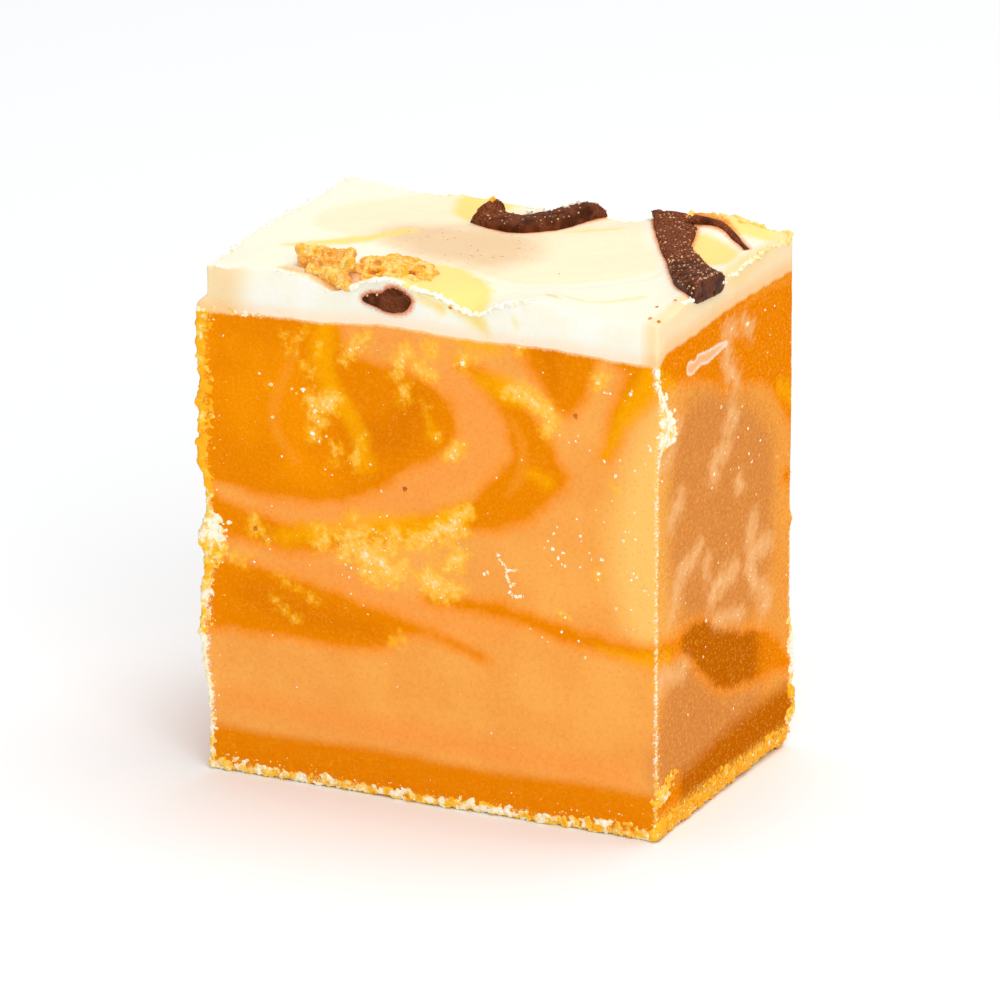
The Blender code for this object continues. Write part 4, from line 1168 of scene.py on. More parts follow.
# %% Sweeping and roughening
def sweep(knots, sink, sides=28, squareness=0.6):
    """A closed rope along a path on the top; each knot is X, Y, width and rise."""
    line = smooth_curve(knots, steps=10)
    rings = []
    for i, (x, y, width, rise) in enumerate(line):
        before, after = line[max(i - 1, 0)], line[min(i + 1, len(line) - 1)]
        along = (after - before)[:2] / np.linalg.norm((after - before)[:2])
        waist = float(top_line(np.clip(x, -HALF_WIDTH, HALF_WIDTH), np.clip(y, -HALF_DEPTH, HALF_DEPTH)))
        ring = []
        for side in range(sides):
            angle = math.tau * side / sides
            across, up = math.cos(angle), math.sin(angle)
            across = math.copysign(abs(across) ** squareness, across) * width / 2
            up = math.copysign(abs(up) ** squareness, up) * (rise if up > 0 else sink)
            ring.append((x + along[1] * across, y - along[0] * across, waist + up))
        rings.append(np.array(ring))
    return skin(rings)


def as_object(name, points, faces):
    mesh = bpy.data.meshes.new(name)
    mesh.from_pydata(np.asarray(points).tolist(), [], faces)
    obj = bpy.data.objects.new(name, mesh)
    bpy.context.scene.collection.objects.link(obj)
    return obj


def cut_away(obj, planes):
    """Cuts away what lies past each plane, given by a point and a way out, and closes the cuts."""
    bm = bmesh.new()
    bm.from_mesh(obj.data)
    bmesh.ops.recalc_face_normals(bm, faces=bm.faces)
    for place, way in planes:
        everything = bm.verts[:] + bm.edges[:] + bm.faces[:]
        bmesh.ops.bisect_plane(bm, geom=everything, plane_co=place, plane_no=way, clear_outer=True)
        rim = [edge for edge in bm.edges if edge.is_boundary]
        if rim:
            bmesh.ops.holes_fill(bm, edges=rim, sides=0)
    bmesh.ops.recalc_face_normals(bm, faces=bm.faces)
    bm.to_mesh(obj.data)
    bm.free()


def evened(obj, cell):
    """Points, normals and faces of the object in small even cells; the object is removed."""
    modifier = obj.modifiers.new("even", "REMESH")
    modifier.mode = "VOXEL"
    modifier.voxel_size = cell
    graph = bpy.context.evaluated_depsgraph_get()
    mesh = bpy.data.meshes.new_from_object(obj.evaluated_get(graph))
    bpy.data.objects.remove(obj)
    points, normals = np.empty(len(mesh.vertices) * 3), np.empty(len(mesh.vertices) * 3)
    mesh.vertices.foreach_get("co", points)
    mesh.vertex_normals.foreach_get("vector", normals)
    faces = [tuple(polygon.vertices) for polygon in mesh.polygons]
    bpy.data.meshes.remove(mesh)
    return points.reshape(-1, 3), normals.reshape(-1, 3), faces

# %% Chocolate recipe
def chocolate_recipe():
    mat = Recipe("chocolate")
    fine = mat.noise(0.2, 4.0, 0.8)
    cloudy = mat.noise(1.2, 3.0, 0.6)
    crumbly = mat.between(mat.math("ADD", mat.drawn("crumbly"), mat.math("MULTIPLY_ADD", cloudy, 3.0, -1.5)), -0.4, 0.6)
    plain = mat.blend(mat.between(cloudy, 0.35, 0.65), linear(72, 31, 9), linear(112, 57, 30))
    rough_brown = mat.blend(mat.between(fine, 0.4, 0.6), linear(88, 38, 16), linear(142, 80, 50))
    colour = mat.blend(crumbly, plain, rough_brown)
    colour = mat.blend(mat.math("MULTIPLY", mat.between(fine, 0.60, 0.70), 0.4), colour, linear(186, 118, 80))
    mat.bump(fine, 0.09)
    return mat.finish(colour, roughness=mat.math("MULTIPLY_ADD", crumbly, 0.3, 0.38), specular=0.06)


chocolate = chocolate_recipe()
print("chocolate mixed")

# %% The two strokes of drizzle, the tail and the chip
def chocolate_piece(name, points, faces, replaced, planes=(), cell=0.13, grain=0.07, crumbly=-1.0):
    """Cuts, evens and roughens; crumbly is a number or a function of the points. Gives its points and normals."""
    obj = as_object(name + "_rough", points, faces)
    cut_away(obj, planes)
    points, normals, faces = evened(obj, cell)
    relief = grain * rough(*points.T, 0.6, seed=41) + 0.07 * wobble(*points.T, 1.8, seed=44)
    relief += 0.5 * grain * rough(*points.T, 0.27, seed=46)
    relief -= grain * 1.5 * ramp((wobble(*points.T, 0.45, seed=47) - 0.45) / 0.3)
    points = np.clip(points + normals * relief[:, None], LIMIT_LOW, LIMIT_HIGH)
    share = crumbly(points) if callable(crumbly) else np.full(len(points), float(crumbly))
    add_piece(name, points, faces, chocolate, replaced, {"crumbly": share}, crease=180)
    return points, normals


PAST_RIGHT = ((HALF_WIDTH + 0.12, 0, 0), (1, 0, 0))
PAST_BACK = ((0, HALF_DEPTH + 0.05, 0), (0, 1, 0))
crescent = chocolate_piece("chocolate_back", *sweep(CRESCENT, 1.1), ["chocolate_back"],
                           [PAST_BACK, ((-5.13, 7.5, 43.2), (-1, 0.2, 0.62))], crumbly=lambda p: p[:, 1] - 8.5 - p[:, 0])
band = chocolate_piece("chocolate_right", *sweep(BAND, 0.75), ["chocolate_right"], [PAST_RIGHT, PAST_BACK],
                       crumbly=lambda p: (p[:, 1] - 1.0) * 0.6)
chocolate_piece("chocolate_tail", *sweep(TAIL, 0.4, squareness=0.8), [], cell=0.1, grain=0.03, crumbly=0.2)


def chip_rings():
    """The chip is a smooth outline on the front, drawn in to a blunt end inside the block."""
    edge = smooth_curve(CHIP_OUTLINE, closed=True, steps=4)
    middle = edge.mean(axis=0)
    rings = []
    for share in np.linspace(0.0, 1.0, 9):
        taper = math.sqrt(max(1 - share**2, 0.09))
        ring = middle + (edge - middle) * taper
        y = np.full(len(ring), -HALF_DEPTH - 0.16 + 1.9 * share)
        rings.append(np.column_stack([ring[:, 0], y, ring[:, 1]]))
    return skin(rings)


chip = chocolate_piece("chocolate_front", *chip_rings(), ["chocolate_front"], cell=0.1, crumbly=-0.2)

# %% [markdown]
# ## Honeycomb
# Honeycomb toffee breaks into knobbly bits full of burst bubbles. A bit is a heap of overlapping
# balls, merged by a remesh, with hollows pressed in by noise.

# %% Honeycomb recipe
def honeycomb_recipe():
    mat = Recipe("honeycomb")
    fine = mat.noise(0.16, 3.0, 0.8)
    big = mat.noise(0.7, 3.0, 0.65)
    colour = mat.blend(mat.between(big, 0.40, 0.60), linear(254, 176, 34), linear(255, 214, 112))
    # painted shade: darker in the hollows
    colour = mat.blend(mat.math("MULTIPLY", mat.between(mat.drawn("hollow"), 0.2, 0.7), 0.55), colour,
                       linear(244, 140, 8))
    # painted shade in the low places of the fine relief, and a painted highlight, near white, on its high places
    colour = mat.blend(mat.math("MULTIPLY", mat.between(fine, 0.42, 0.34), 0.6), colour, linear(246, 146, 12))
    colour = mat.blend(mat.between(fine, 0.56, 0.66), colour, linear(255, 246, 216))
    mat.bump(mat.math("ADD", fine, big), 0.10)
    return mat.finish(colour, roughness=0.45, specular=0.06)


honeycomb = honeycomb_recipe()
print("honeycomb mixed")

# %% Knobbly bits
def heap_of_balls(balls):
    """One mesh of many balls, each given by its centre and its radii in X, Y and Z."""
    bm = bmesh.new()
    for centre, radii in balls:
        made = bmesh.ops.create_icosphere(bm, subdivisions=3, radius=1.0)
        bmesh.ops.scale(bm, vec=radii, verts=made["verts"])
        bmesh.ops.translate(bm, vec=centre, verts=made["verts"])
    mesh = bpy.data.meshes.new("balls")
    bm.to_mesh(mesh)
    bm.free()
    obj = bpy.data.objects.new("balls", mesh)
    bpy.context.scene.collection.objects.link(obj)
    return obj


def honeycomb_piece(name, balls, cell, pits):
    points, normals, faces = evened(heap_of_balls(balls), cell)
    hollow = ramp((wobble(*points.T, 0.75, seed=57) - 0.05) / 0.5)
    relief = pits * rough(*points.T, 0.7, seed=51) + 0.6 * pits * rough(*points.T, 0.28, seed=55)
    points = points + normals * (relief - 1.2 * pits * hollow)[:, None]
    points = np.clip(points, LIMIT_LOW, LIMIT_HIGH)
    return add_piece(name, points, faces, honeycomb, [name], {"hollow": hollow}, crease=35)


def ball_row(start, end, count, first, last):
    """Balls from start to end whose radii go from first to last."""
    shares = np.linspace(0.0, 1.0, count)[:, None]
    centres = np.array(start) + shares * (np.array(end) - np.array(start))
    radii = np.array(first) + shares * (np.array(last) - np.array(first))
    return list(zip(centres.tolist(), radii.tolist()))


NUGGET_BALLS = [
    *ball_row((-12.4, -10.0, 44.3), (-8.4, -10.3, 44.5), 7, (0.6, 0.5, 0.6), (0.7, 0.6, 0.55)),
    *ball_row((-12.2, -10.6, 43.7), (-8.3, -11.0, 43.9), 7, (0.7, 0.6, 0.6), (0.8, 0.7, 0.7)),
    *ball_row((-11.2, -11.4, 43.2), (-8.2, -11.9, 43.1), 6, (0.6, 0.6, 0.45), (0.7, 0.7, 0.7)),
    *ball_row((-9.2, -11.9, 42.9), (-7.5, -12.4, 42.5), 4, (0.5, 0.4, 0.4), (0.5, 0.4, 0.45)),
    ((-12.7, -10.2, 44.4), (0.55, 0.5, 0.55)), ((-8.2, -10.3, 44.7), (0.55, 0.5, 0.5)),
    ((-7.8, -11.2, 44.0), (0.5, 0.6, 0.7)),
]
honeycomb_piece("honeycomb_nugget", NUGGET_BALLS, 0.10, 0.13)

rng = random.Random(7)
CRUMBLE_BALLS = []
for _ in range(150):
    turn, far = rng.uniform(0, math.tau), math.sqrt(rng.random())
    across, back = 3.5 * far * math.cos(turn), 3.0 * far * math.sin(turn)
    centre = (-5.0 + across, -8.8 + back - 0.12 * across, 43.15 + 0.7 * (1 - far**2))
    size = rng.uniform(0.2, 0.6)
    CRUMBLE_BALLS.append((centre, (size, size * rng.uniform(0.7, 1.1), size * rng.uniform(0.6, 0.9))))
CRUMBLE_BALLS += ball_row((-7.5, -9.6, 43.1), (-6.3, -9.3, 43.3), 5, (0.5, 0.8, 0.35), (0.5, 0.9, 0.45))
honeycomb_piece("honeycomb_crumble", CRUMBLE_BALLS, 0.10, 0.09)

# %% [markdown]
# ## Crumbs
# A cut through fudge leaves crumbs along its edges. We make a dozen different broken bits, and lay
# copies of them along the edges, each turned and sized at random. All crumbs of one kind are joined in
# one mesh. Each carries a random shade, which the recipe turns into a colour of its own.

# %% Broken bits
def broken_bits(kinds, detail, seed, jag=0.55):
    """Unit crumbs: knobbly balls of a few sizes of lump."""
    bits = []
    for kind in range(kinds):
        bm = bmesh.new()
        bmesh.ops.create_icosphere(bm, subdivisions=detail, radius=1.0)
        for vert in bm.verts:
            lump = noise.noise(vert.co * 1.3 + Vector((kind * 7.3, seed, 0)))
            pit = noise.noise(vert.co * 3.1 + Vector((0, kind * 5.1, seed)))
            vert.co *= 1.0 + jag * lump + 0.6 * jag * pit
        bits.append((np.array([vert.co[:] for vert in bm.verts]),
                     np.array([[vert.index for vert in face.verts] for face in bm.faces])))
        bm.free()
    return bits


def scattered(centres, ways, sizes, bits, seed, squash=0.5):
    """A bit at every centre, turned at random and flattened along its way out; each has a shade."""
    chance = np.random.default_rng(seed)
    points, faces, shades, start = [], [], [], 0
    for centre, way, size in zip(centres, ways, sizes):
        shape, shape_faces = bits[chance.integers(len(bits))]
        turn = np.array(Matrix.Rotation(chance.uniform(0, math.tau), 3, Vector(chance.normal(size=3))))
        turned = (shape * chance.uniform(0.6, 1.25, 3)) @ turn.T
        turned -= np.outer(turned @ way, way) * (1.0 - squash)
        points.append(turned * size + centre)
        faces.append(shape_faces + start)
        shades.append(np.full(len(shape), chance.random()))
        start += len(shape)
    return np.concatenate(points), np.concatenate(faces).tolist(), np.concatenate(shades)


def within(points):
    return np.clip(points, LIMIT_LOW - [0, 0, 0.04], LIMIT_HIGH)


def strew(name, centres, ways, sizes, bits, material, seed, squash=0.5):
    points, faces, shades = scattered(centres, ways, sizes, bits, seed, squash)
    return add_piece(name, within(points), faces, material, (), {"shade": shades}, crease=40)


def crust(name, centres, ways, sizes, material, slot, seed, squash, shade, cell=0.11):
    """Bits grown together to one crumbly skin; shade is a function of the points."""
    points, faces, _ = scattered(centres, ways, sizes, small_bits, seed, squash)
    points, normals, faces = evened(as_object(name + "_rough", points, faces), cell)
    relief = 0.09 * rough(*points.T, 0.5, seed=seed) + 0.08 * rough(*points.T, 0.24, seed=seed + 1)
    points = within(points + normals * relief[:, None])
    return add_piece(name, points, faces, material, (), {"shade": shade(points)}, crease=35)


def crumb_recipe(name, dark, mid, pale):
    mat = Recipe(name)
    fine = mat.noise(0.2, 3.0, 0.75)
    shade = mat.math("ADD", mat.drawn("shade"), mat.math("MULTIPLY_ADD", fine, 1.6, -0.8))
    colour = mat.blend(mat.between(shade, 0.0, 0.5), dark, mid)
    colour = mat.blend(mat.between(shade, 0.4, 0.9), colour, pale)
    mat.bump(fine, 0.05)
    return mat.finish(colour, roughness=0.5, specular=0.15)


small_bits = broken_bits(12, 2, seed=8, jag=0.8)
grains = broken_bits(8, 1, seed=5, jag=0.4)
crumb = crumb_recipe("crumb", linear(254, 178, 14), linear(255, 208, 76), linear(255, 248, 222))
print("kinds of bit:", len(small_bits), len(grains))

# %% Crumbs along the upright edges
def near_side(strip, z, out):
    """Points on the uneven sides, moved outwards by out, and their ways out; all are arrays."""
    x, y = outline(strip)
    way = np.column_stack([np.where(np.abs(x) > HALF_WIDTH - 0.3, np.sign(x), 0.0),
                           np.where(np.abs(y) > HALF_DEPTH - 0.3, np.sign(y), 0.0), np.zeros(len(x))])
    way /= np.maximum(np.linalg.norm(way, axis=1), 1e-9)[:, None]
    flat = np.column_stack([*side_place(x, y, z), z])
    return flat + way * out[:, None], way


def rows_of_crumbs(table):
    """Random strip, height, way out and size for each line of a table."""
    rows = []
    for at, spread, lowest, highest, count, smallest, largest in table:
        size = smallest + (largest - smallest) * chance.random(count) ** 1.8
        strip, z = at + chance.normal(size=count) * spread, chance.uniform(lowest, highest, count)
        rows.append(np.column_stack([strip, z, chance.uniform(-0.5, 0.1, count) * size, size]))
    return np.concatenate(rows)


def edge_shade(points):
    """0 for yellow crumbs, 1 for white ones: EDGES says which edge is white at which height."""
    white = np.zeros(len(points))
    for (_, knots), (side_x, side_y) in zip(EDGES, CORNERS):
        heights, *columns = np.transpose(knots)
        here = (points[:, 0] * side_x > 0) & (points[:, 1] * side_y > 0)
        white[here] = np.interp(points[here, 2], heights, columns[2])
    return 1.2 * white - 0.25 + 0.5 * (points[:, 2] > 38.9) + 0.3 * wobble(*points.T, 1.2, seed=63) + 0.4 * wobble(*points.T, 0.35, seed=64)


CRUSTED = (
    # walk, spread, lowest, highest, how many, smallest, largest
    (0.1, 0.3, 24.0, 39.2, 640, 0.10, 0.30), (0.8, 0.45, 18.2, 21.8, 70, 0.14, 0.38),
    (2.4, 1.4, 39.0, 39.5, 60, 0.06, 0.16), (0.0, 0.25, 30.8, 31.6, 16, 0.14, 0.34), (0.0, 0.2, 35.9, 36.5, 14, 0.14, 0.34),
    (0.4, 0.35, 17.4, 21.8, 70, 0.14, 0.36), (0.2, 0.3, 14.8, 16.6, 24, 0.12, 0.30),
    (0.1, 0.25, 10.6, 24.0, 360, 0.10, 0.30), (0.1, 0.2, 0.4, 10.6, 260, 0.08, 0.20),
    (WIDTH + 1.5, 0.75, 32.8, 35.6, 230, 0.12, 0.32), (WIDTH + 0.8, 0.4, 35.2, 37.4, 90, 0.10, 0.26),
    (WIDTH + 0.1, 0.15, 37.0, 39.6, 50, 0.09, 0.20),
    (WIDTH + 0.8, 0.5, 3.0, 4.4, 90, 0.14, 0.30), (WIDTH + 2.2, 0.5, 3.9, 4.9, 40, 0.12, 0.26),
    (WIDTH + 3.4, 0.3, 4.6, 5.2, 16, 0.12, 0.22),
    (WIDTH + 0.4, 0.5, 0.3, 1.6, 90, 0.12, 0.32),
    (WIDTH + DEPTH, 0.3, 5.0, 11.0, 170, 0.10, 0.28), (WIDTH + DEPTH, 0.4, 2.0, 5.6, 110, 0.12, 0.40),
    (WIDTH + DEPTH, 0.12, 11.0, 21.0, 120, 0.07, 0.16),
    (2 * WIDTH + DEPTH, 0.25, 2.0, 34.0, 520, 0.10, 0.32),
)
LOOSE = (
    (0.2, 0.9, 0.8, 40.2, 160, 0.04, 0.12), (WIDTH, 0.06, 1.0, 40.0, 560, 0.05, 0.10),
    (WIDTH + 0.25, 0.25, 4.0, 16.0, 60, 0.04, 0.10), (WIDTH + 0.4, 0.5, 30.0, 39.0, 60, 0.04, 0.12),
    (WIDTH + DEPTH, 0.3, 1.0, 40.0, 160, 0.04, 0.12), (2 * WIDTH + DEPTH, 0.6, 2.0, 36.0, 120, 0.04, 0.14),
)
chance = np.random.default_rng(11)
rows = rows_of_crumbs(CRUSTED)
centres, ways = near_side(*rows[:, :3].T)
crust("edge_crust", centres, ways, rows[:, 3], crumb, "caramel", 12, 0.8, edge_shade)
rows = rows_of_crumbs(LOOSE)
centres, ways = near_side(*rows[:, :3].T)
strew("edge_crumbs", centres, ways, rows[:, 3], grains, crumb, 16, squash=0.8)

# %% [markdown]
# The block stood in a tray dusted with sugar and crumbs. They stick to its foot as a crust about a
# millimetre high. Its grains are small, so simple shapes of twenty faces are enough.

# %% Crumbs on the foot
count = 3500
strip = chance.uniform(0, ROUND_TRIP, count)
height = 0.9 + 0.4 * wobble(strip, np.zeros(count), np.zeros(count), 2.5, seed=61)
size = 0.08 + 0.15 * chance.random(count) ** 1.6
x, y = outline(strip)
z = chance.random(count) ** 1.3 * (height + 1.1 * (x > HALF_WIDTH - 0.3)) + 0.5 * size
centres, ways = near_side(strip, z, chance.uniform(-0.4, 0.1, count) * size)
crust("foot_crust", centres, ways, size, crumb, "toffee", 13, 0.8,
      lambda p: 0.52 + 0.7 * wobble(*p.T, 0.5, seed=65) - 0.5 * (p[:, 1] > 0.3 - HALF_DEPTH), cell=0.11)

strip, z = chance.uniform(0, ROUND_TRIP, 900), np.abs(chance.normal(size=900)) * 0.7 + 0.2
size = chance.uniform(0.04, 0.09, 900)
centres, ways = near_side(strip, z, 0.2 * size)
strew("foot_crumbs", centres, ways, size, grains, crumb, 17, squash=0.8)

# %% [markdown]
# Real grains of sugar lie in the frosted patches. Each grain is a tiny faceted crystal, so it
# catches the light as in life, whatever the distance. Single grains and short rows of them lie elsewhere too.

# %% Grains of sugar
GRAINS_FRONT = (
    # X, Z and size
    (-15.2, 34.4, 0.3), (-14.2, 33.6, 0.4), (-12.3, 33.5, 0.3), (-11.3, 33.6, 0.4), (-14.0, 30.9, 0.35),
    (-13.2, 27.7, 0.2), (-10.3, 31.9, 0.4), (-10.5, 30.0, 0.5), (-9.9, 29.4, 0.3), (-9.3, 29.9, 0.3),
    (-5.4, 28.1, 0.3), (-7.2, 27.9, 0.2), (-9.4, 27.1, 0.2), (-8.8, 26.7, 0.2), (-7.1, 37.5, 0.4),
    (17.6, 37.3, 0.35), (17.1, 36.7, 0.2), (17.7, 37.6, 0.2), (17.6, 39.0, 0.2), (12.8, 32.7, 0.25),
    (13.0, 33.2, 0.15), (14.0, 32.1, 0.2), (15.3, 31.4, 0.4), (16.7, 31.7, 0.25), (18.9, 31.7, 0.3),
    (18.0, 31.0, 0.25), (16.3, 30.3, 0.3), (11.4, 33.0, 0.15), (12.2, 32.5, 0.2), (9.9, 38.0, 0.15),
    (8.1, 30.5, 0.2), (5.9, 28.7, 0.2), (5.1, 40.2, 0.25), (14.7, 37.8, 0.35), (2.9, 37.8, 0.4),
    (15.3, 37.1, 0.25), (15.5, 37.1, 0.25), (15.8, 37.1, 0.25), (7.8, 39.8, 0.3), (8.1, 40.4, 0.3),
    (-14.2, 23.3, 0.2), (-14.2, 12.3, 0.2), (-14.4, 19.6, 0.2), (-10.8, 18.8, 0.2), (-15.8, 18.3, 0.3),
    (-4.4, 26.0, 0.25), (-7.1, 16.9, 0.2), (-5.6, 15.4, 0.2), (-6.0, 16.1, 0.2), (-3.9, 24.0, 0.3),
    (-4.5, 23.8, 0.2), (-7.9, 18.4, 0.2), (-7.3, 18.3, 0.2), (-8.0, 19.8, 0.3), (-7.6, 19.3, 0.3),
    (-7.1, 19.1, 0.25), (-6.5, 19.1, 0.25), (-5.9, 19.0, 0.4), (-5.4, 19.0, 0.35), (4.8, 20.4, 0.35),
    (5.1, 20.6, 0.4), (10.8, 23.4, 0.35), (11.7, 23.2, 0.3), (11.3, 22.7, 0.4), (10.9, 24.7, 0.35),
    (11.2, 25.3, 0.2), (10.1, 23.4, 0.2), (10.7, 22.0, 0.3), (11.9, 22.1, 0.3), (11.6, 22.2, 0.2),
    (10.4, 24.0, 0.2), (13.2, 24.8, 0.3), (13.3, 24.4, 0.2), (14.0, 23.5, 0.2), (14.2, 23.0, 0.2),
    (15.1, 23.1, 0.35), (13.2, 22.2, 0.2), (14.8, 21.9, 0.3), (14.8, 21.4, 0.2), (17.2, 25.8, 0.2),
    (17.5, 25.8, 0.25), (17.0, 25.0, 0.35), (18.1, 25.3, 0.2), (17.3, 22.5, 0.2), (17.9, 22.4, 0.25),
    (18.2, 22.1, 0.25), (17.7, 21.8, 0.3), (18.9, 21.1, 0.3), (19.2, 20.8, 0.2), (17.7, 19.3, 0.2),
    (16.4, 19.2, 0.3), (17.9, 17.7, 0.2), (18.0, 27.5, 0.2), (9.9, 15.8, 0.2), (11.6, 16.5, 0.3),
    (10.4, 15.5, 0.2), (8.9, 16.4, 0.2), (13.7, 14.7, 0.3), (13.1, 16.0, 0.25), (16.0, 28.2, 0.2),
    (12.9, 26.2, 0.2), (15.3, 26.3, 0.2), (14.6, 27.2, 0.15), (11.5, 18.1, 0.25), (11.9, 17.8, 0.2),
    (0.5, 31.2, 0.3), (2.2, 30.4, 0.3), (1.8, 29.9, 0.25), (-12.0, 8.2, 0.2), (-3.0, 9.6, 0.2), (5.4, 7.0, 0.2),
)
GRAINS_RIGHT = (
    (-0.9, 33.1, 0.3), (3.2, 31.9, 0.25), (2.5, 29.5, 0.25), (2.6, 27.8, 0.2), (2.6, 26.9, 0.3),
    (4.5, 27.5, 0.4), (5.1, 26.7, 0.4), (6.4, 26.8, 0.2), (-2.4, 26.7, 0.3), (6.0, 23.6, 0.2),
    (10.0, 25.6, 0.25), (6.6, 28.0, 0.2), (1.1, 27.2, 0.2), (4.1, 38.6, 0.45), (7.4, 38.8, 0.2),
    (9.3, 38.6, 0.2), (8.4, 36.4, 0.2), (-2.0, 27.8, 0.3), (-1.2, 20.0, 0.3), (0.3, 21.9, 0.2),
    (-5.7, 22.3, 0.2), (-4.2, 13.0, 0.35), (-3.7, 13.7, 0.2), (0.3, 21.2, 0.2), (-7.5, 18.6, 0.2),
    (-3.7, 15.9, 0.35), (4.3, 29.7, 0.4), (-7.0, 9.0, 0.2), (2.0, 6.6, 0.2), (8.0, 35.0, 0.2),
)
SCRATCHES_FRONT = (
    ((5.9, 22.3), (6.2, 21.8), (6.6, 21.4), (6.8, 21.0), (6.8, 20.5), (7.0, 20.2), (7.2, 19.7), (7.4, 20.0)),
    ((6.8, 21.0), (7.2, 21.1), (7.7, 21.2)), ((7.1, 19.3), (7.4, 18.9), (7.8, 18.9), (8.2, 19.1)),
)


def grains_in_patches(side, patches, per_area):
    """Random places in the frosted patches of a side: strip, height and size."""
    rows = []
    for knots in patches:
        line = smooth_curve(knots, steps=6)
        length = np.linalg.norm(np.diff(line[:, :2], axis=0), axis=1).sum() + line[:, 2].mean()
        for _ in range(int(per_area * length * line[:, 2].mean())):
            x, z, width = line[chance.integers(len(line))]
            far = chance.normal(size=2) * (0.12 + 0.36 * width)
            rows.append((UNROLL[side](x + far[0]), z + far[1], chance.uniform(0.05, 0.13)))
    return np.array(rows)


rows = [(UNROLL["front"](x), z, size * 0.42) for x, z, size in GRAINS_FRONT]
rows += [(UNROLL["right"](y), z, size * 0.42) for y, z, size in GRAINS_RIGHT]
for scratch in SCRATCHES_FRONT:
    for x, z in smooth_curve(scratch, steps=7):
        far = chance.normal(size=2) * 0.05
        rows.append((UNROLL["front"](x + far[0]), z + far[1], chance.uniform(0.05, 0.12)))
lone = np.column_stack([chance.uniform(0, ROUND_TRIP, 170), chance.uniform(2, 39.5, 170), chance.uniform(0.03, 0.045, 170)])
rows = np.concatenate([rows, lone])
centres, ways = near_side(*rows[:, :2].T, 0.0 * rows[:, 2])
sugar = crumb_recipe("sugar", linear(255, 222, 150), linear(255, 238, 200), linear(255, 252, 240))
strew("sugar_grains", centres, ways, rows[:, 2], small_bits, sugar, seed=14)

rows = np.concatenate([grains_in_patches(side, FROST_ON[side], 3)
                       for side in UNROLL])
rows = rows[rows[:, 1] < 39.5]
centres, ways = near_side(*rows[:, :2].T, -0.1 * rows[:, 2])
bloom = crumb_recipe("sugar_bloom", linear(254, 196, 84), linear(254, 214, 140), linear(255, 240, 205))
strew("sugar_bloom", centres, ways, rows[:, 2], grains, bloom, seed=15, squash=0.3)

# %% [markdown]
# Where the spatula left the edge of the white layer, it stands up in a ragged, sugary ridge. Grains of
# chocolate, sugar and honeycomb lie on the drizzle. `on_piece` picks random points of a piece
# that was made before.

# %% Ragged rim and grains on the drizzle
def on_rim(lowest, highest, count, inset=0.1):
    """Random places along the rim of the top, walked round like the sides."""
    strip = chance.uniform(lowest, highest, count)
    x, y = outline(strip)
    x, y = np.clip(x, inset - HALF_WIDTH, HALF_WIDTH - inset), np.clip(y, inset - HALF_DEPTH, HALF_DEPTH - inset)
    x, y = x + chance.normal(size=count) * 0.1, y + chance.normal(size=count) * 0.1
    return np.column_stack([x, y, top_height(x, y) - 0.06])


def on_piece(piece, count, wanted):
    """Random points of a piece where wanted, a function of points and normals, is true."""
    points, normals = piece
    chosen = chance.choice(np.flatnonzero(wanted(points, normals)), count)
    return points[chosen], normals[chosen]


up = lambda centres: np.tile([0.0, 0.0, 1.0], (len(centres), 1))
centres = np.concatenate([
    on_rim(UNROLL["front"](-7.4), UNROLL["front"](8.6), 420, 0.25), on_rim(1, WIDTH - 8, 120),
    on_rim(UNROLL["right"](1.0), UNROLL["back"](-4.0), 420), on_rim(UNROLL["right"](-8), UNROLL["right"](1), 80),
    on_rim(UNROLL["back"](-4.0), ROUND_TRIP, 360)])
shards = np.concatenate([
    np.array([-1.2, 7.2, 44.05]) + chance.random((26, 1)) * np.array([1.8, 1.4, 0.15]),
    np.array([1.2, 9.4, 44.35]) + chance.random((16, 1)) * np.array([0.8, 1.5, 0.1])])
centres = np.concatenate([centres, shards + chance.normal(size=shards.shape) * [0.1, 0.12, 0.16]])
under_band = (centres[:, 0] > HALF_WIDTH - 1) & (np.abs(centres[:, 1] + 3.8) < 2.3)
centres = centres[~under_band]
size = 0.07 + 0.16 * chance.random(len(centres)) ** 2
rim_crumb = crumb_recipe("rim_crumb", linear(254, 212, 104), linear(255, 246, 214), linear(255, 253, 240))
crust("rim_crust", centres, up(centres), size, rim_crumb, "white_fudge", 18, 0.9,
      lambda p: 0.7 + 0.4 * wobble(*p.T, 2.0, seed=67) - 0.8 * ramp((p[:, 0] + p[:, 1] - 18) / 8), cell=0.1)

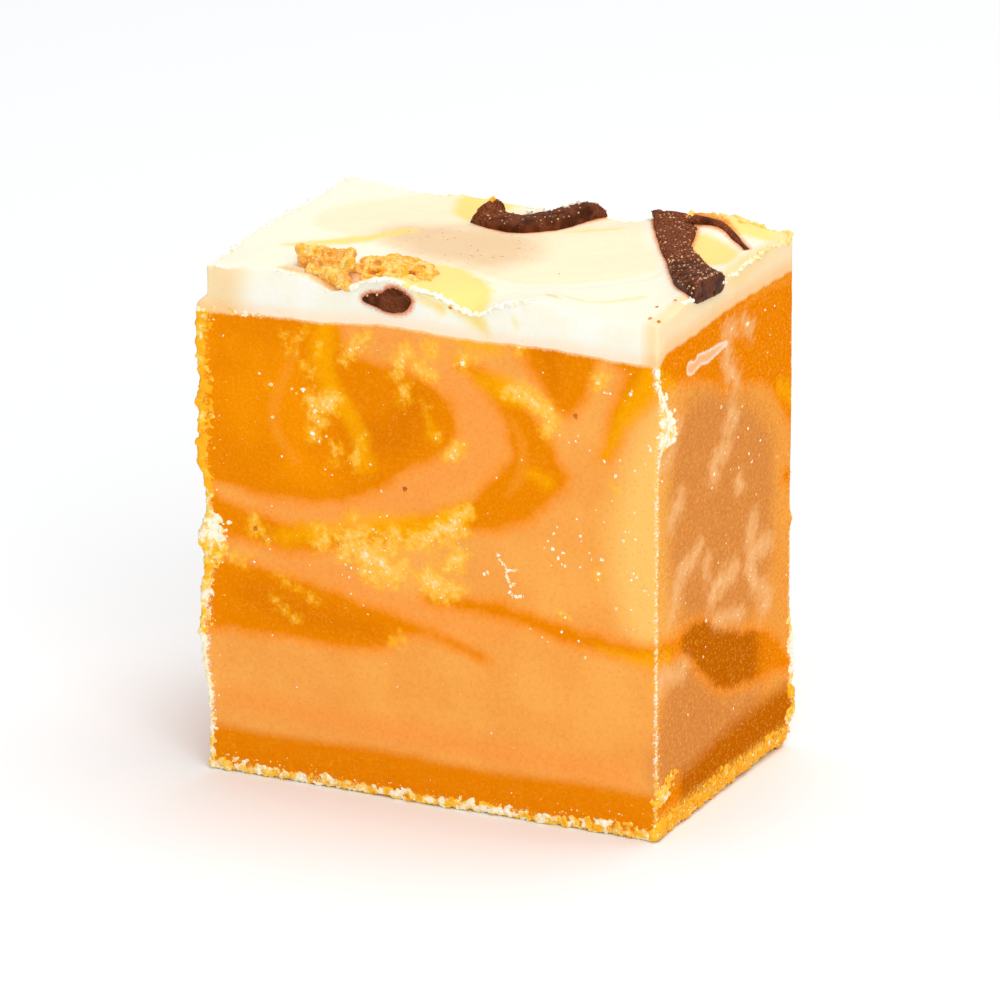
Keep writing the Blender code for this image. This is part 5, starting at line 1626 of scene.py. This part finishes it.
choc_crumb = crumb_recipe("chocolate_crumb", linear(118, 62, 36), linear(160, 96, 62), linear(240, 196, 150))
spots = [on_piece(crescent, 140, lambda p, n: n[:, 2] > 0.3),
         on_piece(crescent, 120, lambda p, n: (n[:, 1] > 0.3) & (p[:, 2] > 44.0)),
         on_piece(band, 300, lambda p, n: (n[:, 2] > 0.3) & (p[:, 1] > -1.5)),
         on_piece(band, 60, lambda p, n: (n[:, 2] > 0.3) & (p[:, 1] < -1.5)),
         on_piece(band, 90, lambda p, n: (p[:, 0] > HALF_WIDTH - 0.25) & (n[:, 2] > 0.25)),
         on_piece(chip, 60, lambda p, n: n[:, 2] > 0.4)]
centres, ways = (np.concatenate(part) for part in zip(*spots))
strew("drizzle_grains", centres, ways, chance.uniform(0.04, 0.12, len(centres)), grains, choc_crumb,
      seed=19, squash=0.8)

# a torn tip of caramel stands at the left end of the back stroke
share = chance.random(40)[:, None]
centres = np.array([-4.4, 7.0, 44.1]) + share * np.array([0.4, 0.2, 0.85]) + chance.normal(size=(40, 3)) * 0.1
crust("caramel_tip", centres, up(centres), 0.28 - 0.16 * share[:, 0], crumb, "caramel", 21, 0.9,
      lambda p: 0.1 + 0.3 * wobble(*p.T, 0.5, seed=71))

# toffee-brown specks, one by one
SPECKS_FRONT = ((-2.3, 26.5, 0.16), (12.8, 34.8, 0.24), (-15.7, 21.2, 0.22), (1.8, 42.3, 0.2), (-13.5, 28.6, 0.1))
SPECKS_TOP = ((18.6, -11.3, 0.22), (19.6, -11.8, 0.2), (18.0, -8.7, 0.14), (18.9, -7.2, 0.14), (7.0, -3.7, 0.1))
centres, ways = near_side(*np.array([(UNROLL["front"](x), z, 0.0) for x, z, _ in SPECKS_FRONT]).T)
on_top = np.array([(x, y, top_height(np.array(x), np.array(y))) for x, y, _ in SPECKS_TOP])
speck = crumb_recipe("toffee_speck", linear(180, 92, 16), linear(206, 122, 30), linear(226, 150, 60))
strew("toffee_specks", np.concatenate([centres, on_top]), np.concatenate([ways, up(on_top)]),
      [size for *_, size in SPECKS_FRONT + SPECKS_TOP], small_bits, speck, seed=22, squash=0.4)

# %% [markdown]
# ## The plain box
# The dressed block has to stay inside the plain model's box. Here that box is printed.

# %% Print the plain box
print("plain box:", [[round(c / MM, 2) for c in corner] for corner in cad_box])
